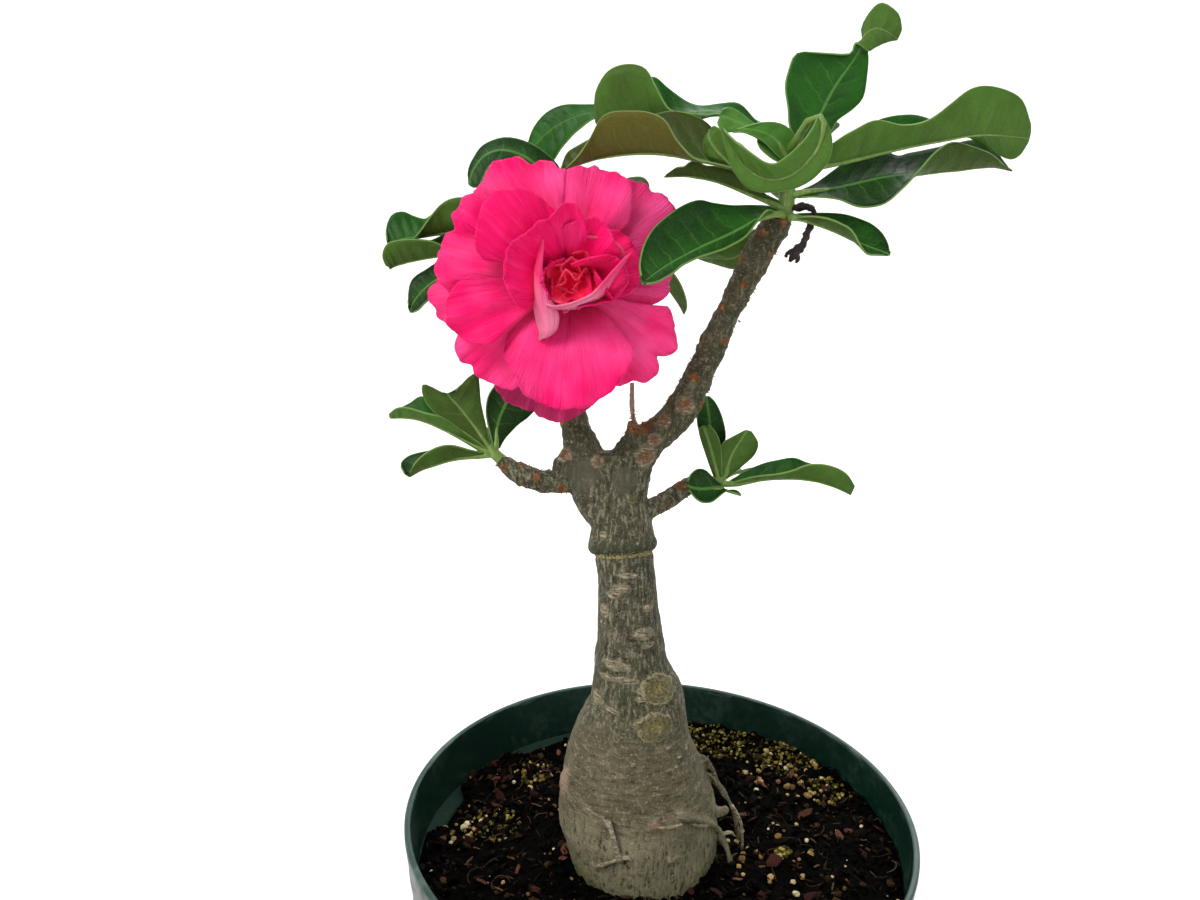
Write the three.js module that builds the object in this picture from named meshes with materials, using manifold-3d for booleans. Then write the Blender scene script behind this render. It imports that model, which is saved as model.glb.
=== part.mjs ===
// Potted desert rose adenium: a swollen grey caudex in a thin plastic nursery pot, grafted trunk,
// four leafy shoots, one double pink bloom, a dried stalk and a dry twig.
// Millimetres, +Z up, origin at the centre of the pot's underside, the viewer stands on the -Y side.
import * as THREE from 'three';
import { mergeVertices } from 'three/addons/utils/BufferGeometryUtils.js';
import Module from 'manifold-3d';

const wasm = await Module();
wasm.setup();
const { Manifold, Mesh: SolidMesh } = wasm;

// ---------------------------------------------------------------- driving dimensions
const RIM_RADIUS = 100;
const POT_HEIGHT = 150;
const RIM_BAND = 25;
const LEDGE_OUTER = 95.5;
const LEDGE_INNER = 90.5;
const BASE_RADIUS = 70;
const WALL = 1.6;
const FLOOR = 2;
const DRAIN_HOLES = 8;
const DRAIN_RADIUS = 4.5;
const DRAIN_CIRCLE = 56;
const POT_SIDES = 60;
const LEAF_THICK = 0.8;
const PETAL_THICK = 0.8;
const CLEAR = 0.35;
const SLIVER = 0.1;
const TRUNK_Y = -6;

const rad = (deg) => deg * Math.PI / 180;
const clamp01 = (x) => Math.min(1, Math.max(0, x));
const smooth = (x) => clamp01(x) ** 2 * (3 - 2 * clamp01(x));
const mix = (a, b, k) => a + (b - a) * k;

// seeded random numbers
let seed = 71;
function random() {
  seed = (seed * 1664525 + 1013904223) % 4294967296;
  return seed / 4294967296;
}
const between = (a, b) => a + (b - a) * random();

// ---------------------------------------------------------------- solid helpers
function solidFrom(points, faces) {
  const vertProperties = new Float32Array(points.flat());
  const triVerts = new Uint32Array(faces.flat());
  return new Manifold(new SolidMesh({ numProp: 3, vertProperties, triVerts }));
}

function solidOf(geometry) {
  geometry.deleteAttribute('normal');
  geometry.deleteAttribute('uv');
  const merged = mergeVertices(geometry, 1e-4);
  const vertProperties = new Float32Array(merged.attributes.position.array);
  const triVerts = new Uint32Array(merged.index.array);
  return new Manifold(new SolidMesh({ numProp: 3, vertProperties, triVerts }));
}

function join(list) {
  const bodies = Manifold.union(list).simplify(SLIVER).decompose();
  return bodies.sort((a, b) => b.volume() - a.volume())[0];
}

// profile of [radius, height] points that closes on itself, turned round the upright axis
function turned(profile, sides) {
  const points = [...profile, profile[0]].map(([r, z]) => new THREE.Vector2(r, z));
  return solidOf(new THREE.LatheGeometry(points, sides).rotateX(Math.PI / 2));
}

// closed skin over rings of equal count, capped at both ends
function loft(rings) {
  const n = rings[0].length;
  const points = rings.flat();
  const faces = [];
  for (let i = 0; i + 1 < rings.length; i += 1) {
    for (let j = 0; j < n; j += 1) {
      const a = i * n + j;
      const b = i * n + (j + 1) % n;
      faces.push([a, b, b + n], [a, b + n, a + n]);
    }
  }
  const middle = (ring) => [0, 1, 2].map((k) => ring.reduce((s, p) => s + p[k], 0) / n);
  const last = (rings.length - 1) * n;
  points.push(middle(rings[0]), middle(rings[rings.length - 1]));
  for (let j = 0; j < n; j += 1) {
    faces.push([points.length - 2, (j + 1) % n, j]);
    faces.push([points.length - 1, last + j, last + (j + 1) % n]);
  }
  return solidFrom(points, faces);
}

// round stem through path points; radii are [across, across] or one number
function tube(path, radii, sides = 12, grow = 0, wobble = 0) {
  const pts = path.map((p) => new THREE.Vector3(...p));
  const rings = [];
  let side = new THREE.Vector3(0, 1, 0);
  for (let i = 0; i < pts.length; i += 1) {
    const ahead = pts[Math.min(i + 1, pts.length - 1)].clone();
    const along = ahead.sub(pts[Math.max(i - 1, 0)]).normalize();
    side = side.clone().addScaledVector(along, -side.dot(along)).normalize();
    const cross = new THREE.Vector3().crossVectors(along, side);
    const ring = [];
    for (let j = 0; j < sides; j += 1) {
      const a = 2 * Math.PI * j / sides;
      const r = (radii[i] + grow) * (1 + wobble * Math.sin(3 * a + 1.7 * i) + wobble * between(-1, 1));
      const p = pts[i].clone().addScaledVector(side, r * Math.cos(a));
      ring.push(p.addScaledVector(cross, r * Math.sin(a)).toArray());
    }
    rings.push(ring);
  }
  return loft(rings);
}

function ball(centre, size, detail, spin = 0) {
  const geometry = new THREE.IcosahedronGeometry(1, detail).scale(...size).rotateZ(rad(spin));
  return solidOf(geometry.translate(...centre));
}

// ---------------------------------------------------------------- leaves and petals
// half width share along the blade: 0 at the foot, 1 at 'wide', rounded or pointed tip
function outline(t, wide, point) {
  const s = Math.sin(Math.PI * t ** (Math.log(0.5) / Math.log(wide)));
  return Math.max(s, 0) ** (t < wide ? 0.9 : point);
}

// midrib: starts at 'base', climbs at 'rise' degrees, droops and sways on its way;
// each half of the blade is folded up from the midrib by its own angle
function bladePoint(leaf, t, s) {
  const steps = 24;
  const at = new THREE.Vector3(...leaf.base);
  const heading = (u) => {
    const up = rad(leaf.rise - leaf.droop * u - (leaf.dip ?? 0) * u ** 3);
    const turn = rad(leaf.turn + leaf.sway * u);
    return [up, turn];
  };
  const ahead = (u) => {
    const [up, turn] = heading(u);
    return new THREE.Vector3(Math.cos(up) * Math.cos(turn), Math.cos(up) * Math.sin(turn), Math.sin(up));
  };
  const done = Math.round(steps * t);
  for (let i = 0; i < done; i += 1) {
    at.addScaledVector(ahead((i + 0.5) / steps), leaf.length / steps);
  }
  at.addScaledVector(ahead(t), leaf.length * (t - done / steps));
  const [, turn] = heading(t);
  const side = new THREE.Vector3(-Math.sin(turn), Math.cos(turn), 0);
  const along = ahead(t);
  const face = new THREE.Vector3().crossVectors(along, side);
  const foot = t < 0.97 ? 0.9 : 0.35;
  const half = Math.max(outline(t, leaf.wide ?? 0.66, leaf.point ?? 0.6) * leaf.width / 2, foot);
  const from = leaf.from ?? 0.2;
  const k = smooth((t - from) / ((leaf.to ?? 0.85) - from));
  const edge = s < 0 ? 0 : 1;
  const end = leaf.tip ?? leaf.fold;
  const fold = rad(mix(leaf.fold[edge], end[edge], k));
  const curl = rad(leaf.curl ?? 0);
  let out = 0;
  let lift = 0;
  for (let i = 0; i < 8; i += 1) {
    const f = fold + curl * Math.abs(s) * (i + 0.5) / 8;
    out += Math.cos(f) * Math.abs(s) / 8;
    lift += Math.sin(f) * Math.abs(s) / 8;
  }
  const phase = 2 * Math.PI * ((leaf.waves ?? 1.5) * t + (leaf.phase ?? 0)) + (s < 0 ? 0 : 2);
  const wave = (leaf.wave ?? 0) * s * s * Math.sin(phase) * 2 / leaf.width;
  at.addScaledVector(side, half * out * Math.sign(s));
  at.addScaledVector(face, half * (lift + wave));
  return at.addScaledVector(along, (leaf.notch ?? 0) * Math.abs(s) ** 1.5 * t ** 4);
}

// thin closed blade with the same triangles on both faces
function blade(leaf, rows, columns, thick) {
  const grid = [];
  for (let i = 0; i <= rows; i += 1) {
    const t = i / rows;
    grid.push([]);
    for (let j = 0; j <= columns; j += 1) {
      grid[i].push(bladePoint(leaf, t, -1 + 2 * j / columns));
    }
  }
  const upper = [];
  const lower = [];
  for (let i = 0; i <= rows; i += 1) {
    for (let j = 0; j <= columns; j += 1) {
      const u = grid[Math.min(i + 1, rows)][j].clone().sub(grid[Math.max(i - 1, 0)][j]);
      const v = grid[i][Math.min(j + 1, columns)].clone().sub(grid[i][Math.max(j - 1, 0)]);
      const normal = u.cross(v).normalize().multiplyScalar(thick / 2);
      upper.push(grid[i][j].clone().add(normal).toArray());
      lower.push(grid[i][j].clone().sub(normal).toArray());
    }
  }
  const n = columns + 1;
  const under = upper.length;
  const faces = [];
  for (let i = 0; i < rows; i += 1) {
    for (let j = 0; j < columns; j += 1) {
      const a = i * n + j;
      faces.push([a, a + n, a + n + 1], [a, a + n + 1, a + 1]);
      faces.push([under + a, under + a + n + 1, under + a + n], [under + a, under + a + 1, under + a + n + 1]);
    }
  }
  const border = [];
  for (let j = 0; j < columns; j += 1) border.push(j);
  for (let i = 0; i < rows; i += 1) border.push(i * n + columns);
  for (let j = columns; j > 0; j -= 1) border.push(rows * n + j);
  for (let i = rows; i > 0; i -= 1) border.push(i * n);
  border.forEach((a, i) => {
    const b = border[(i + 1) % border.length];
    faces.push([a, b, under + b], [a, under + b, under + a]);
  });
  return solidFrom([...upper, ...lower], faces);
}

// a leafy shoot: green stem, every leaf on its stalk, stalks rooted well inside the stem
function shoot(stem, radii, leaves) {
  const solids = [tube(stem, radii, 10)];
  const axis = new THREE.CatmullRomCurve3(stem.map((p) => new THREE.Vector3(...p)));
  for (const leaf of leaves) {
    const foot = new THREE.Vector3(...leaf.base);
    let root = axis.getPoint(0);
    for (let i = 0; i <= 20; i += 1) {
      const p = axis.getPoint(i / 20);
      const here = p.clone();
      here.z += 1.5;
      if (here.distanceTo(foot) < root.distanceTo(foot)) root = p;
    }
    const stalk = [root, foot, bladePoint(leaf, 0.07, 0)];
    const thin = Math.min(1, leaf.length / 30);
    solids.push(tube(stalk.map((p) => p.toArray()), [1.4, 1.2, 0.9].map((r) => r * thin), 4));
    const rows = leaf.length < 32 ? 5 : 7;
    const waved = leaf.wave || leaf.curl || leaf.notch;
    solids.push(blade(leaf, rows, waved ? 4 : 2, LEAF_THICK));
  }
  return join(solids);
}

const leaf = (base, turn, rise, droop, sway, length, width, fold, more = {}) => (
  { base, turn, rise, droop, sway, length, width, fold, ...more });

// ---------------------------------------------------------------- pot
function makePot() {
  const ledge = POT_HEIGHT - RIM_BAND + 1;
  const outer = [
    [0, 0], [BASE_RADIUS - 2, 0], [BASE_RADIUS, 2], [92, ledge - 3.5], [97.4, ledge - 2.2],
    [RIM_RADIUS - 0.5, POT_HEIGHT - 3], [RIM_RADIUS, POT_HEIGHT - 2.4], [RIM_RADIUS, POT_HEIGHT],
    [RIM_RADIUS - 2.3, POT_HEIGHT], [LEDGE_OUTER, ledge], [LEDGE_INNER, ledge - 1.6],
    [BASE_RADIUS - WALL - 1, FLOOR], [0, FLOOR],
  ];
  let pot = turned(outer, POT_SIDES);
  for (let k = 0; k < DRAIN_HOLES; k += 1) {
    const a = 2 * Math.PI * (k + 0.5) / DRAIN_HOLES;
    const hole = new THREE.CylinderGeometry(DRAIN_RADIUS, DRAIN_RADIUS, FLOOR + 4, 12).rotateX(Math.PI / 2);
    hole.translate(DRAIN_CIRCLE * Math.cos(a), DRAIN_CIRCLE * Math.sin(a), FLOOR / 2);
    pot = pot.subtract(solidOf(hole));
  }
  return pot;
}

// ---------------------------------------------------------------- caudex, trunk and branches
// [height, middle x, radius] of the swollen base and the trunk up to the fork
const TRUNK = [
  [87, -4, 9], [94, -4, 19], [106, -4, 25.5], [121, -4.4, 28.2], [132, -5.2, 29.2],
  [142, -6.6, 30], [152, -8.5, 30.8], [159, -9.6, 30], [165, -10, 28.3], [174, -10.5, 25.5],
  [183, -10.4, 22.6], [192, -9.9, 19.9], [199, -10.2, 18.2], [206, -11.5, 15.9], [213, -12.9, 13.9],
  [222, -13.3, 12.7], [234, -14.4, 11.4], [248, -15.5, 10.6], [256, -16.6, 11],
  [260, -17.2, 12.1], [266, -17.6, 11.4], [270.5, -18.8, 11.3], [276, -20.9, 12.6],
  [281, -23, 14], [286, -23.5, 11], [289, -23.5, 6],
];

function trunkBody(grow, lumps) {
  const sides = 20;
  return loft(TRUNK.map(([z, x, r]) => {
    const ring = [];
    const flat = mix(1, 0.72, smooth((z - 262) / 22));
    const rough = lumps * smooth((z - 133) / 12);
    for (let j = 0; j < sides; j += 1) {
      const a = 2 * Math.PI * j / sides;
      const bump = 1 + rough * (0.018 * Math.sin(3 * a + z / 17) + 0.014 * Math.sin(5 * a - z / 9));
      const reach = (r + grow) * bump;
      ring.push([x + reach * Math.cos(a), TRUNK_Y + reach * Math.sin(a) * flat, z]);
    }
    return ring;
  }));
}

const ROOTS = [
  { path: [[14, -6, 172], [20, -4, 168], [25, 1, 161], [30, 7, 150], [33, 13, 138], [34, 15, 124]],
    radii: [3, 2.2, 1.7, 1.5, 1.3, 1] },
  { path: [[4, -28, 168], [9, -31.5, 167], [15, -29.5, 164], [21, -26.5, 158], [25.5, -23.5, 151],
    [28.5, -21.5, 145], [28.5, -23, 138], [28, -24, 126]],
  radii: [2.4, 1.8, 1.6, 1.6, 1.7, 1.6, 1.4, 1] },
  { path: [[-21, -27, 165], [-20, -31.5, 162], [-16.5, -33, 157], [-14, -34, 148], [-12.5, -35, 140],
    [-12, -36.5, 127]], radii: [1.2, 1, 0.9, 0.9, 0.9, 0.8] },
];

function makeTrunk() {
  const solids = [trunkBody(0, 1)];
  // the branch that carries the bloom
  solids.push(tube([[-21, -6, 266], [-27, -6, 282], [-32.5, -6, 295], [-36, -5, 304], [-37.5, -3.5, 314],
    [-39.4, 0, 330], [-40.8, 1.6, 342], [-41.2, 2, 349], [-41.3, 2, 350.5]],
  [9, 9, 7, 5, 4.5, 4, 3.8, 3.7, 3], 8, 0, 0.02));
  // rounded shoulder left of its foot
  solids.push(ball([-36.5, -7.5, 289.5], [5.6, 5, 6.2], 1));
  // the long upper right branch
  solids.push(tube([[-17, -6, 266], [-12, -6, 284], [-6.6, -6, 296], [0, -6, 307.3], [6.1, -6, 319],
    [12.8, -6, 335], [18, -6, 348], [23, -6, 359.2], [28.1, -6, 370], [31.6, -6, 376.4], [32.6, -6, 378]],
  [9, 8.5, 7, 6, 5.4, 4.8, 4.4, 4.9, 5.2, 4.8, 3.9], 9, 0, 0.02));
  // sawn stub between the two, its top slanting and torn
  solids.push(tube([[-18, -6, 278], [-15.5, -7, 292], [-13.4, -7.5, 300], [-12.4, -7.6, 304.2]],
    [9, 7.2, 4.8, 4.2], 8, 0, 0.05));
  for (let k = 0; k < 4; k += 1) {
    const x = -15 + 1.7 * k;
    solids.push(tube([[x, -7.5 + between(-2, 2), 302], [x + between(-0.4, 0.4), -7.5, between(305, 306.6)]],
      [1.3, 0.5], 4));
  }
  // low branches, left and right
  solids.push(tube([[-26, -7, 282], [-33.4, -7, 283.2], [-43, -7, 282.3], [-48.5, -7, 282.7],
    [-53.7, -7, 284.3], [-59.4, -7, 286.8], [-63, -7, 290]], [5, 4.5, 4.3, 4.3, 4.1, 3.5, 2.9], 8, 0, 0.03));
  solids.push(tube([[-15, -6, 268], [-7.5, -5, 272.7], [-0.6, -1, 276.1], [6.2, 3, 280.2], [12.6, 4.5, 282.4]],
    [4.4, 3.9, 3.6, 3.3, 3], 8, 0, 0.03));
  // oval scars of old stalks and the rows of small knots
  const knots = [
    [-1.9, -34, 202.6, 5.8, 4.6], [-1.7, -28.8, 214.7, 5, 4.4], [-17.2, -29, 221.4, 2.2, 1.8],
    [-19.3, -28.6, 217.8, 2, 1.8], [-12.4, -30, 217.5, 2.4, 2], [-22, -30, 207.7, 3.2, 2.4],
    [-6.7, -26, 232, 2, 2.4], [-16.9, -18.2, 245.7, 1.6, 2], [-21, -18, 235.6, 1.6, 1.8],
    [-25.6, -30.4, 185, 1.6, 1.6], [-9.2, -35.8, 187.8, 1.6, 1.6], [2.9, -33.8, 194, 1.4, 1.4],
    [9.2, -30.4, 191.8, 1.4, 1.4], [5.5, -32.6, 186.9, 1.4, 1.4], [-1.4, -35.6, 162.6, 2, 2],
    [6, -34, 147, 1.5, 1.5], [-34.8, -10, 164, 5, 6], [-8, 19, 172, 4.2, 3.6],
  ];
  for (const [x, y, z, w, h] of knots) {
    const out = Math.atan2(y - TRUNK_Y, x + 10) * 180 / Math.PI;
    const centre = TRUNK.find(([level]) => level >= z);
    const reach = centre[2] * 0.985;
    const middle = [centre[1] + reach * Math.cos(rad(out)), TRUNK_Y + reach * Math.sin(rad(out)), z];
    solids.push(ball(middle, [Math.min(w, h) * 0.45 + 0.5, w, h], w > 3 ? 1 : 0, out));
  }
  // leaf scars along the young branches
  const scars = [[8.2, -10, 331], [3.2, -11.6, 309], [19.6, -10.4, 345], [10.5, -10.6, 322], [26, -11, 362],
    [16, -9.8, 338], [-40.5, -10.8, 285], [-50.5, -10.6, 283], [-34.5, -10.4, 297], [2, 0.4, 279]];
  for (const [x, y, z] of scars) solids.push(ball([x, y, z], [1.7, 1, 1.5], 0));
  for (const { path, radii } of ROOTS) solids.push(tube(path, radii, 6, 0, 0.04));
  return join(solids);
}

// ---------------------------------------------------------------- soil
// height of the filling: high on the right and at the back, low on the left
const soilEdge = (a) => 129.2 + 6 * Math.cos(a - rad(20));
function soilLevel(r, a) {
  const x = r * Math.cos(a);
  const y = r * Math.sin(a);
  const rough = 0.7 * Math.sin(x / 7 + y / 11) + 0.6 * Math.sin(y / 6 - x / 13);
  return mix(132.6, soilEdge(a), smooth(r / 90)) + rough * smooth((90 - r) / 20);
}

function makeSoil() {
  const sides = 36;
  const rings = [];
  const wall = (z) => mix(BASE_RADIUS - WALL, LEDGE_INNER, (z - 4) / 120.4) - 0.6;
  for (const z of [FLOOR + 0.5, 60, 121]) {
    const ring = [];
    for (let j = 0; j < sides; j += 1) {
      const a = 2 * Math.PI * j / sides;
      ring.push([wall(z) * Math.cos(a), wall(z) * Math.sin(a), z]);
    }
    rings.push(ring);
  }
  rings[0] = rings[0].map(([x, y, z]) => [x * 0.965, y * 0.965, z]);
  for (const r of [89.6, 80, 68, 56, 44, 30]) {
    const ring = [];
    for (let j = 0; j < sides; j += 1) {
      const a = 2 * Math.PI * j / sides;
      ring.push([r * Math.cos(a), r * Math.sin(a), soilLevel(r, a)]);
    }
    rings.push(ring);
  }
  const solids = [loft(rings)];
  // the filling lies on the ledge where it is high
  const bank = [];
  for (let k = 0; k <= 18; k += 1) {
    const a = rad(mix(-76, 116, k / 18));
    const top = Math.max(soilEdge(a) - 1.6 * (k % 2) * 0.4, 127.6);
    const section = [[84, 126.8], [94.6, 126.8], [94.6, top - 0.4], [84, soilLevel(84, a) - 0.5]];
    bank.push(section.map(([r, z]) => [r * Math.cos(a), r * Math.sin(a), z]));
  }
  solids.push(loft(bank.reverse()));
  // bark chips and grit, half sunk
  for (let k = 0; k < 34; k += 1) {
    const a = between(0, 2 * Math.PI);
    const r = Math.sqrt(between(44 ** 2, 84 ** 2));
    const size = between(1.3, 3.4);
    const chip = new THREE.BoxGeometry(size * 1.7, size, size * 0.8);
    chip.rotateX(rad(between(-30, 30))).rotateZ(between(0, Math.PI));
    solids.push(solidOf(chip.translate(r * Math.cos(a), r * Math.sin(a), soilLevel(r, a) + 0.1)));
  }
  let soil = join(solids);
  const hole = TRUNK.filter(([z]) => z <= 152).map(([z, x, r]) => {
    const ring = [];
    const reach = r + (z > 130 ? 1.8 : 1);
    for (let j = 0; j < 20; j += 1) {
      const a = 2 * Math.PI * j / 20;
      ring.push([x + reach * Math.cos(a), TRUNK_Y + reach * Math.sin(a), z - (z < 90 ? 0.6 : 0)]);
    }
    return ring;
  });
  soil = soil.subtract(loft(hole));
  for (const { path, radii } of ROOTS) {
    const end = path[path.length - 1];
    const deep = [...path.slice(-3, -1), end, [end[0], end[1], end[2] - 1]];
    soil = soil.subtract(tube(deep, [...radii.slice(-3, -1), 1, 1], 8, 0.6));
  }
  return soil;
}

// ---------------------------------------------------------------- leafy shoots
const TOP_STEM = [[33.4, -6, 374.6], [34, -6, 380], [34, -7, 388], [33.4, -8, 394], [33, -8.4, 397.5]];
const BLOOM_STEM = [[-41.2, 2, 347.6], [-41.6, 2, 356], [-42, 2, 364], [-42.2, 2, 371], [-42.2, 2, 375.5]];
const LEFT_STEM = [[-60.6, -7, 288.2], [-64, -7, 291], [-66, -7, 293], [-67, -7, 295]];
const RIGHT_STEM = [[10.6, 4.2, 281.6], [14, 4.8, 281.8], [17, 5.2, 282], [18.6, 5.4, 283.6]];

const TOP_LEAVES = [
  leaf([32, -12.5, 379.5], 234, -14, 16, -14, 61, 36, [60, -20], { tip: [75, -20] }),
  leaf([31.4, -1.5, 381], 149, -42, -16, 0, 39, 24, [10, -15]),
  leaf([36, -10, 379.5], 343, -22, -14, 0, 36, 20, [50, 35], { tip: [20, 45] }),
  leaf([37.5, -8, 383.5], 7, 22, 27, 22, 82, 32, [-60, 30],
    { tip: [65, 30], wide: 0.48, point: 0.8, from: 0.35, to: 0.8 }),
  leaf([37.5, -8, 393], 6, 19, 20, 14, 82, 38, [30, 30],
    { tip: [80, -50], wave: 2.5, waves: 1.6, phase: 0.5, from: 0.45, to: 0.98 }),
  leaf([37.5, -4, 396.5], 53, 60, 2, -20, 66, 38, [25, 10],
    { tip: [95, 25], dip: 60, from: 0.6, to: 0.95, wide: 0.6, wave: 1.5 }),
  leaf([30.5, -4, 398], 161, 37, 52, -17, 78, 34, [30, -10], { tip: [40, 70] }),
  leaf([31.5, -12, 395], 268, -12, 15, -52, 42, 42, [50, 50], { wide: 0.55 }),
  leaf([30, -12, 393], 195, 14, 0, 0, 25, 18, [30, 70]),
  leaf([31.5, -10, 395.5], 200, 33, 13, 3, 22, 13, [30, 75], { curl: 15 }),
  leaf([32.5, -6, 396.5], 165, 42, 22, 2, 28, 16, [20, 40]),
  leaf([34, -8, 396], 77, 70, 4, -4, 14, 8, [50, 50]),
  leaf([28.5, -12, 386.5], 185, 30, 53, -11, 72, 29, [30, 10], { tip: [20, 75], wide: 0.56, point: 0.9 }),
  leaf([31, -6, 382], 167, 39, 52, 7, 40, 13, [30, 50], { wave: 0.8, waves: 3 }),
  leaf([36.5, -2, 395], 35, 37, 1, 0, 23, 12, [40, 40]),
  leaf([30, -2, 397], 173, 36, 66, 0, 92, 30, [25, -30]),
  leaf([35, -3, 390], 70, 20, 45, 10, 62, 26, [28, 28]),
  leaf([32, -3, 386], 118, 22, 50, -10, 58, 26, [25, 30]),
];
const BLOOM_LEAVES = [
  leaf([-42.5, 2, 373.5], 154, 89, 139, -19, 67, 26, [25, -40]),
  leaf([-45, 2, 370], 186, 19, 50, -8, 61, 26, [0, 75], { tip: [45, -40], from: 0.5, to: 0.9 }),
  leaf([-45, 2, 368.5], 175, -5, 9, -21, 68, 22, [20, 50]),
  leaf([-45, 2, 366.5], 187, 10, 69, -27, 64, 24, [40, -30]),
  leaf([-39, 2, 368.5], 356, 0, 62, 4, 50, 18, [35, 30]),
  leaf([-39.5, 2, 372], 44, 60, 71, 12, 47, 16, [30, 30]),
  leaf([-41, 4.5, 369], 80, 25, 50, 12, 58, 24, [28, 28]),
  leaf([-43, 4.5, 367], 128, 15, 48, -10, 55, 24, [28, 28]),
];
const LEFT_LEAVES = [
  leaf([-66.5, -8, 291.5], 195, 0, 29, 0, 30, 20, [30, 60], { tip: [0, 20] }),
  leaf([-67, -8, 293.5], 178, 25, 15, 9, 38, 18, [50, 60], { tip: [45, 30] }),
  leaf([-67, -6, 293.5], 232, 46, 0, 0, 36, 25, [18, 18], { wide: 0.75, notch: 4 }),
  leaf([-64.5, -6, 293.5], 71, 50, -5, -2, 28, 26, [85, 20]),
  leaf([-66, -5, 292.5], 120, 15, 30, 5, 32, 18, [25, 25]),
];
const RIGHT_LEAVES = [
  leaf([19.5, 6, 280.5], -2, 19, 40, -3, 48, 21, [15, 35], { tip: [65, 30] }),
  leaf([17, 8, 283.5], 110, 60, -5, -2, 32, 13, [20, 20]),
  leaf([16.5, 4, 284.5], 248, 60, 11, -9, 23, 11, [10, 10]),
  leaf([18.5, 6, 283], 325, 56, 0, 0, 27, 18, [60, 10]),
  leaf([17.5, 2, 280.5], 225, -5, 20, 0, 16, 19, [55, 0]),
  leaf([19, 4, 279], 350, -12, 0, 0, 7, 4, [30, 30]),
  leaf([18, 8, 281.5], 62, 15, 40, 0, 36, 17, [25, 25]),
];

// ---------------------------------------------------------------- bloom
// petals are blades round an axis that looks at the viewer; turn 0 is right, 90 is up
const petal = (turn, from, rise, droop, length, width, more = {}) => {
  const base = [from * Math.cos(rad(turn)), from * Math.sin(rad(turn)), more.start ?? 0];
  return { base, turn, rise, droop, sway: more.sway ?? 0, length, width, fold: more.fold ?? [14, -4],
    wide: more.wide ?? 0.74, point: 0.42, notch: 3, waves: 2.2, wave: 2.2, phase: turn / 97, ...more };
};
const PETALS = [
  petal(115, 3, 74, 84, 46, 34, { notch: 4, wave: 3 }),
  petal(73, 3, 72, 78, 42, 30),
  petal(33, 3, 66, 82, 46, 36),
  petal(-38, 3, 66, 80, 47, 36),
  petal(-105, 3, 68, 84, 53, 36),
  petal(-139, 3, 70, 80, 49, 30),
  petal(-170, 3, 68, 80, 52, 26),
  petal(163, 3, 71, 80, 49, 36, { notch: 4.5 }),
  petal(-93, 3, 78, 76, 46, 38, { start: 2 }),
  petal(-160, 3, 78, 76, 46, 36, { start: 2 }),
  petal(121, 3, 80, 72, 36, 32, { start: 2 }),
  petal(150, 3, 84, 48, 31, 26, { start: 3 }),
  petal(93, 3, 84, 50, 32, 22, { start: 3 }),
  petal(55, 3, 84, 50, 29, 24, { start: 3 }),
  petal(17, 3, 82, 46, 28, 22, { start: 3 }),
  petal(228, 3, 90, 34, 27, 20, { start: 3, fold: [24, 24] }),
  petal(-62, 3, 84, 44, 24, 20, { start: 3, fold: [16, 16] }),
  petal(100, 1, 84, 10, 19, 9, { start: 3, fold: [60, 60] }),
  petal(220, 1, 84, 10, 18, 9, { start: 3, fold: [60, 60] }),
  petal(340, 1, 84, 10, 18, 9, { start: 3, fold: [60, 60] }),
];
// bloom axis: local +Z looks at the viewer and a little up
const BLOOM_AT = [-38.6, -16.5, 352.6];
const placeBloom = (solid) => solid.rotate([88, 0, 3]).translate(BLOOM_AT);

function makeCorolla() {
  const solids = PETALS.map((p) => blade(p, p.length > 22 ? 5 : 3, p.length > 22 ? 4 : 2, PETAL_THICK));
  const throat = [[0, -10], [2.3, -10], [2.8, -6], [4.4, -1], [6, 3], [5, 5.5], [0, 6.5]];
  solids.push(turned(throat, 10));
  return placeBloom(join(solids));
}

// green cup of narrow sepals behind the tube, on a short stalk that meets the shoot
function makeCalyx() {
  const solids = [];
  const foot = -10.4;
  for (let k = 0; k < 5; k += 1) {
    const turn = 72 * k + 20;
    const base = [1.6 * Math.cos(rad(turn)), 1.6 * Math.sin(rad(turn)), foot - 1];
    solids.push(blade({ base, turn, rise: 8, droop: -50, sway: 0, length: 7, width: 3.6,
      fold: [25, 25], wide: 0.4, point: 0.9 }, 3, 2, 0.7));
  }
  solids.push(turned([[0, foot - 3], [1.5, foot - 3], [2.2, foot], [0, foot]], 8));
  const cup = placeBloom(join(solids));
  const stalk = [[-39, -4.3, 353], [-40, -3.6, 354.4], [-41.3, -2.6, 356.4], [-41.6, -1.15, 357]];
  return join([cup, tube(stalk, [1.4, 1.3, 1.3, 1.2], 8)]);
}

// ---------------------------------------------------------------- dry remains
function makeDriedStalk() {
  return join([
    tube([[37.4, -6.4, 379.6], [39.5, -7.6, 380.3], [42, -8, 380], [43.2, -8, 378.4], [42, -8, 374.6],
      [41.6, -8, 369.6], [39.4, -8, 365.6], [37, -8, 363.2]],
    [1.2, 1.5, 1.4, 1.7, 1.5, 1.2, 1.3, 0.7], 7, 0, 0.12),
    tube([[39.6, -8, 366], [38.6, -9, 362.6], [39.4, -9.4, 360.6]], [1, 1, 0.5], 6, 0, 0.1),
  ]);
}
function makeTwig() {
  return tube([[-13.4, -4.4, 306.2], [-15.3, -4.4, 309.4], [-15.9, -3.6, 314.5], [-15.8, -3, 319.2]],
    [0.8, 0.7, 0.6, 0.5], 6);
}

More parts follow.
